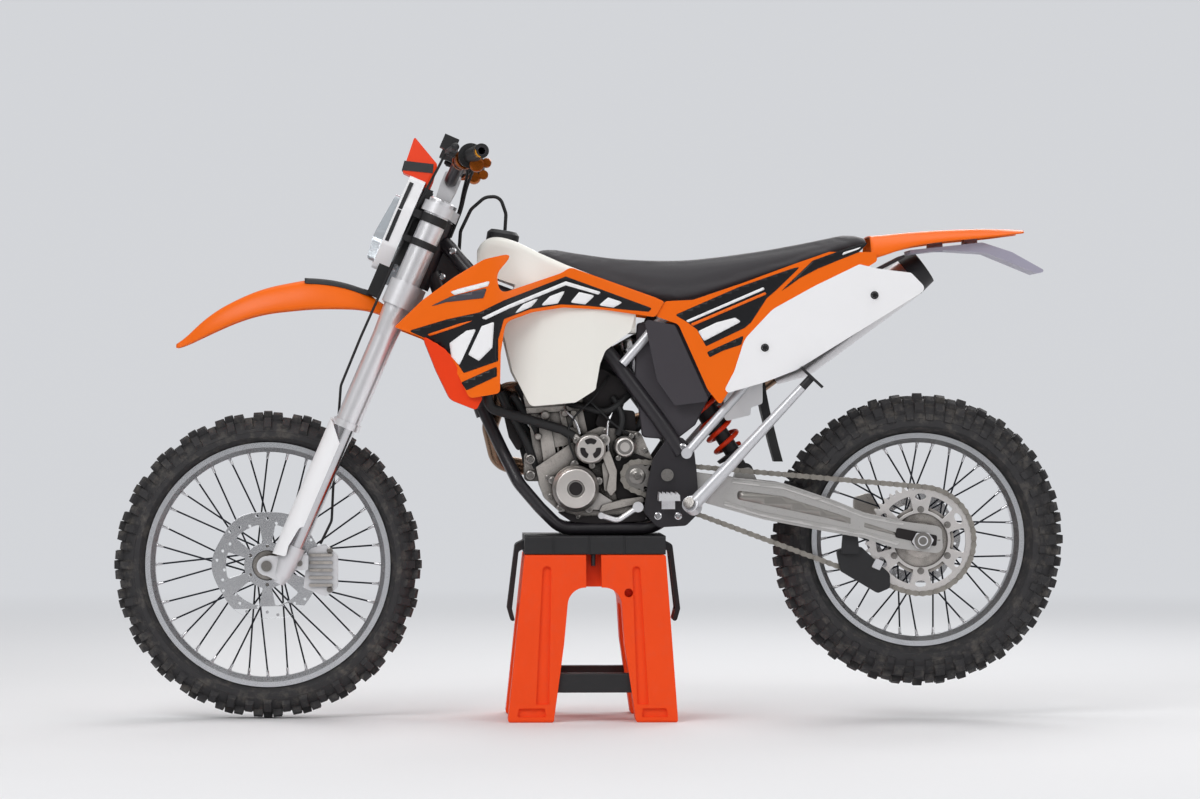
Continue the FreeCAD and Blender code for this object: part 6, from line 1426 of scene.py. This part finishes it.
class BIKE_OT_frame_trim(bpy.types.Operator):
    """Adds the bolts of the frame, and the swingarm's ribs, axle blocks and chain adjusters"""

    bl_idname = "bike.frame_trim"
    bl_label = "Frame Trim"

    def execute(self, context):
        bolts = Bag()
        for x, z in ((-314, 1064), (-339, 1005), (196, 462), (150, 462), (206, 618)):
            bolts.bolt_on("main_frame", x, z, 6.0)
        bolts.piece("frame_trim_bolts", "chrome")
        arm = wall(300, ARM_SIDE_PLAN, 600, ARM_SIDE_PLAN)
        for name, (outline, corner, look, thickness, lift, bevel) in ARM_PANELS.items():
            shell_piece(name, rounded([(*p, corner) for p in outline], 3), arm, look, thickness, lift, bevel=bevel)
        block_piece("axle_slots", [(686, 414, 6), (690, 436, 6), (782, 418, 6), (780, 393, 6)], -133.6, -131.0,
                    "dark_casting", 0.4, twin=True)
        face = REAR_AXLE + LEFT * 139
        block = Bag()
        block.side_block(rounded([(724, 404, 3), (735, 424, 4), (762, 424, 4), (774, 408, 3), (763, 388, 4),
                                  (736, 388, 4)]), -139.0, -132.5)
        block.ring(face, LEFT, 8.8, 11.5, 0, 1.6, 24)
        block.piece("axle_blocks", "clamp_aluminium", smooth=30.0, twin=True)
        hole = Bag()
        hole.rod(face, LEFT, 8.9, 0, 0.8, 24)
        hole.piece("axle_holes", "black_plastic", twin=True)
        ends = Bag()
        ends.rod(Vector((772, -124, 406)), AFT, 5, 0, 26, 12)
        ends.rod(Vector((772, -124, 406)), AFT, 9, 10, 17, 6)
        ends.piece("chain_adjusters", "steel", twin=True)
        return {"FINISHED"}


class BIKE_OT_rear_trim(bpy.types.Operator):
    """Adds the intake boot, the airbox's lower shell reaching down over the shock as painted shade, the shock's
    reservoir, the inner guard and the mud flap
    """

    bl_idname = "bike.rear_trim"
    bl_label = "Rear Trim"

    def execute(self, context):
        tube_piece("intake_boot", [[(20, 0, 792), (60, 0, 806), (100, 0, 830), (150, 0, 858)]], 40.0)
        # The airbox's lower shell, drawn on down in front of the shock where it stands in shadow: partly the airbox,
        # partly painted shade.
        block_piece("airbox_lower", [(104, 900, 8), (262, 900, 8), (272, 740, 12), (236, 668, 12), (192, 634, 12),
                                     (116, 640, 12), (98, 780, 16)], -92.0, -58.0, "airbox_plastic", 3.0)
        tank = Bag()
        foot = Vector((116, -64, 742))
        axis = Vector((84, -60, 862)) - foot
        tall = axis.length
        tank.lathe([(0, 0), (17, 0), (20, 4), (20, tall - 6), (17, tall), (0, tall)], foot, axis, 32)
        tank.ring(foot, axis, 20.2, 21.4, tall - 26, tall - 20, 32)
        tank.piece("shock_reservoir", "chrome")
        guard = Bag()
        guard.prism(rounded([(300, 800, 6), (392, 800, 6), (392, 716, 8), (366, 708, 6), (364, 690, 6),
                             (306, 676, 8)]), -46.0, -43.0)
        guard.piece("inner_guard", "white_plastic", smooth=30.0)
        near = face_of("chain_guide", 640, 352).y
        block_piece("guide_block", [(646, 366, 2), (664, 358, 2), (654, 338, 2), (636, 346, 2)], near - 3.0,
                    near + 1.0, "silver_paint", 0.6)
        flap = Bag()
        flap.grid([[Vector((x + back, side * half, z)) for back, side in ((-14, -1), (6, -1), (6, 1), (-14, 1))]
                   for x, z, half in ((388, 800, 34), (396, 740, 34), (404, 700, 34), (414, 660, 32), (424, 620, 30),
                                      (434, 584, 28))])
        flap.piece("mud_flap", "rubber", smooth=40.0)
        return {"FINISHED"}


# Head: mask, cowl, controls

BAR_CABLES = [[(-262, -262, 1246), (-262, -180, 1262), (-270, -90, 1240), (-284, -40, 1204), (-293, -24, 1160),
               (-307, -22, 1125), (-319, -20, 1095)],
              [(-270, -240, 1246), (-280, -150, 1268), (-280, -66, 1236), (-290, -28, 1200), (-297, -14, 1160),
               (-311, -12, 1125), (-322, -10, 1097)]]


class BIKE_OT_head(bpy.types.Operator):
    """Adds the mask's slots and straps, the cowl's band, the bar ends and the cables behind the bar"""

    bl_idname = "bike.head"
    bl_label = "Head"

    def execute(self, context):
        slots = Bag()
        rows = []
        for along, half in ((782, 93.6), (810, 100), (840, 106.5), (866, 110.5), (890, 100.5), (926, 79.5)):
            rows.append([steer_point(back, -half + side, along)
                         for back, side in ((-107, -0.9), (-98, -0.9), (-98, 2), (-107, 2))])
        slots.grid(rows)
        band = [(-137, 967), (-74, 985), (-68, 965), (-134, 945)]
        slots.grid([[steer_point(b, -(38 + (b + 150) / 90 * 24) + lift, a) for b, a in band] for lift in (-1.4, 1.0)])
        slots.mirror()
        slots.grid([[steer_point(back + shift, side, along) for back, side, along in
                     ((-138.5, -41, 967), (-138.5, 41, 967), (-135.5, 41, 945), (-135.5, -41, 945))]
                    for shift in (0, 4.5)])
        slots.piece("mask_slots", "black_plastic", "steering", 30.0)

        straps = Bag()
        for along, height in ((866, 20), (806, 16)):
            straps.ring(steer_point(-22, -100, along - height / 2), STEER_AXIS, 29.7, 32.4, 0, height, 40)
            straps.box(steer_point(-60, -100, along), STEER_BACK, RIGHT, STEER_AXIS, (12, 5, height / 2 - 1))
        straps.box(steer_point(-84, -46, 700), STEER_BACK, RIGHT, STEER_AXIS, (14, 8, 44))
        for low, high, near in ((742, 800, -70), (806, 862, -74), (868, 928, -72)):
            straps.grid([[steer_point(back, side, along)
                          for back, side in ((near, -72), (-50, -72), (-50, -60), (near, -60))]
                         for along in (low, high)])
        straps.piece("mask_straps", "rubber", "steering", 30.0, twin=True)

        root = steer_point(-7, -280, 1016)
        end = steer_point(17.7, -405, 1038)
        along = (end - root).normalized()
        rings = Bag()
        rings.lathe([(11.5, -9), (15.6, -9), (16.4, -7), (16.4, -2.5), (15, -1.2), (12.2, -1.2), (11.5, -2.5)], end,
                    along, 36, closed=True)
        rings.piece("bar_end_rings", "gold", "steering", twin=True)
        clips = Bag()
        clips.lathe([(17.2, 0), (21.5, 0), (22.5, 3), (22.5, 14), (21, 18), (17.2, 18)], root - along * 28, along,
                    32, closed=True)
        clips.lathe([(0, -20), (13, -20), (16, -16), (16, 14), (12, 20), (0, 20)], Vector((-262, -298, 1247)),
                    RIGHT, 32)
        clips.lathe([(0, -8), (9, -8), (11, -4), (11, 10), (0, 10)], Vector((-240, -284, 1252)), RIGHT, 24)
        clips.ring(root - along * 60, along, 17.2, 19, 0, 9, 32)
        clips.piece("control_clips", "bronze", "steering", twin=True)
        tube_piece("bar_cables", BAR_CABLES, 3.4, "rubber", "steering")
        return {"FINISHED"}


class BIKE_OT_caliper(bpy.types.Operator):
    """Adds the fins and the bolts of the front caliper"""

    bl_idname = "bike.caliper"
    bl_label = "Caliper Trim"

    def execute(self, context):
        fins = Bag()
        for step in range(5):
            fins.box(Vector((-612, -92, 306 + step * 17)), AFT, RIGHT, UP, (26, 4, 3.2))
        fins.piece("caliper_fins", "cast_aluminium", "steering")
        bolts = Bag()
        for x, z in ((-660, 356), (-592, 384), (-592, 296)):
            bolts.bolt_on("front_caliper", x, z, 5.0)
        bolts.piece("caliper_bolts", "steel", "steering")
        return {"FINISHED"}


# Panel and registration

# The operators in the order in which they run
OPERATORS = [BIKE_OT_camera, BIKE_OT_stage, BIKE_OT_finishes, BIKE_OT_tyres, BIKE_OT_wheels, BIKE_OT_discs,
             BIKE_OT_chain, BIKE_OT_sprockets, BIKE_OT_spring, BIKE_OT_shrouds, BIKE_OT_side_panels, BIKE_OT_engine,
             BIKE_OT_frame_trim, BIKE_OT_rear_trim, BIKE_OT_head, BIKE_OT_caliper, BIKE_OT_seat, BIKE_OT_fenders]


class BIKE_PT_panel(bpy.types.Panel):
    """The sidebar panel that lists the settings and the pieces."""

    bl_idname = "BIKE_PT_panel"
    bl_label = "Dirt Bike"
    bl_space_type = "VIEW_3D"
    bl_region_type = "UI"
    bl_category = "Dirt Bike"

    def draw(self, context):
        bike = context.scene.dirt_bike
        for name in BikeSettings.__annotations__:
            self.layout.prop(bike, name)
        for operator in OPERATORS:
            self.layout.operator(operator.bl_idname)


CLASSES = [BikeSettings, *OPERATORS, BIKE_PT_panel]


def register():
    """Adds the classes and the scene's settings."""
    for item in CLASSES:
        bpy.utils.register_class(item)
    bpy.types.Scene.dirt_bike = PointerProperty(type=BikeSettings)


def unregister():
    """Takes the classes and the settings away again."""
    del bpy.types.Scene.dirt_bike
    for item in reversed(CLASSES):
        bpy.utils.unregister_class(item)


def main():
    """Makes every piece in order."""
    register()
    for operator in OPERATORS:
        group, name = operator.bl_idname.split(".")
        getattr(getattr(bpy.ops, group), name)()


if __name__ == "__main__":
    main()
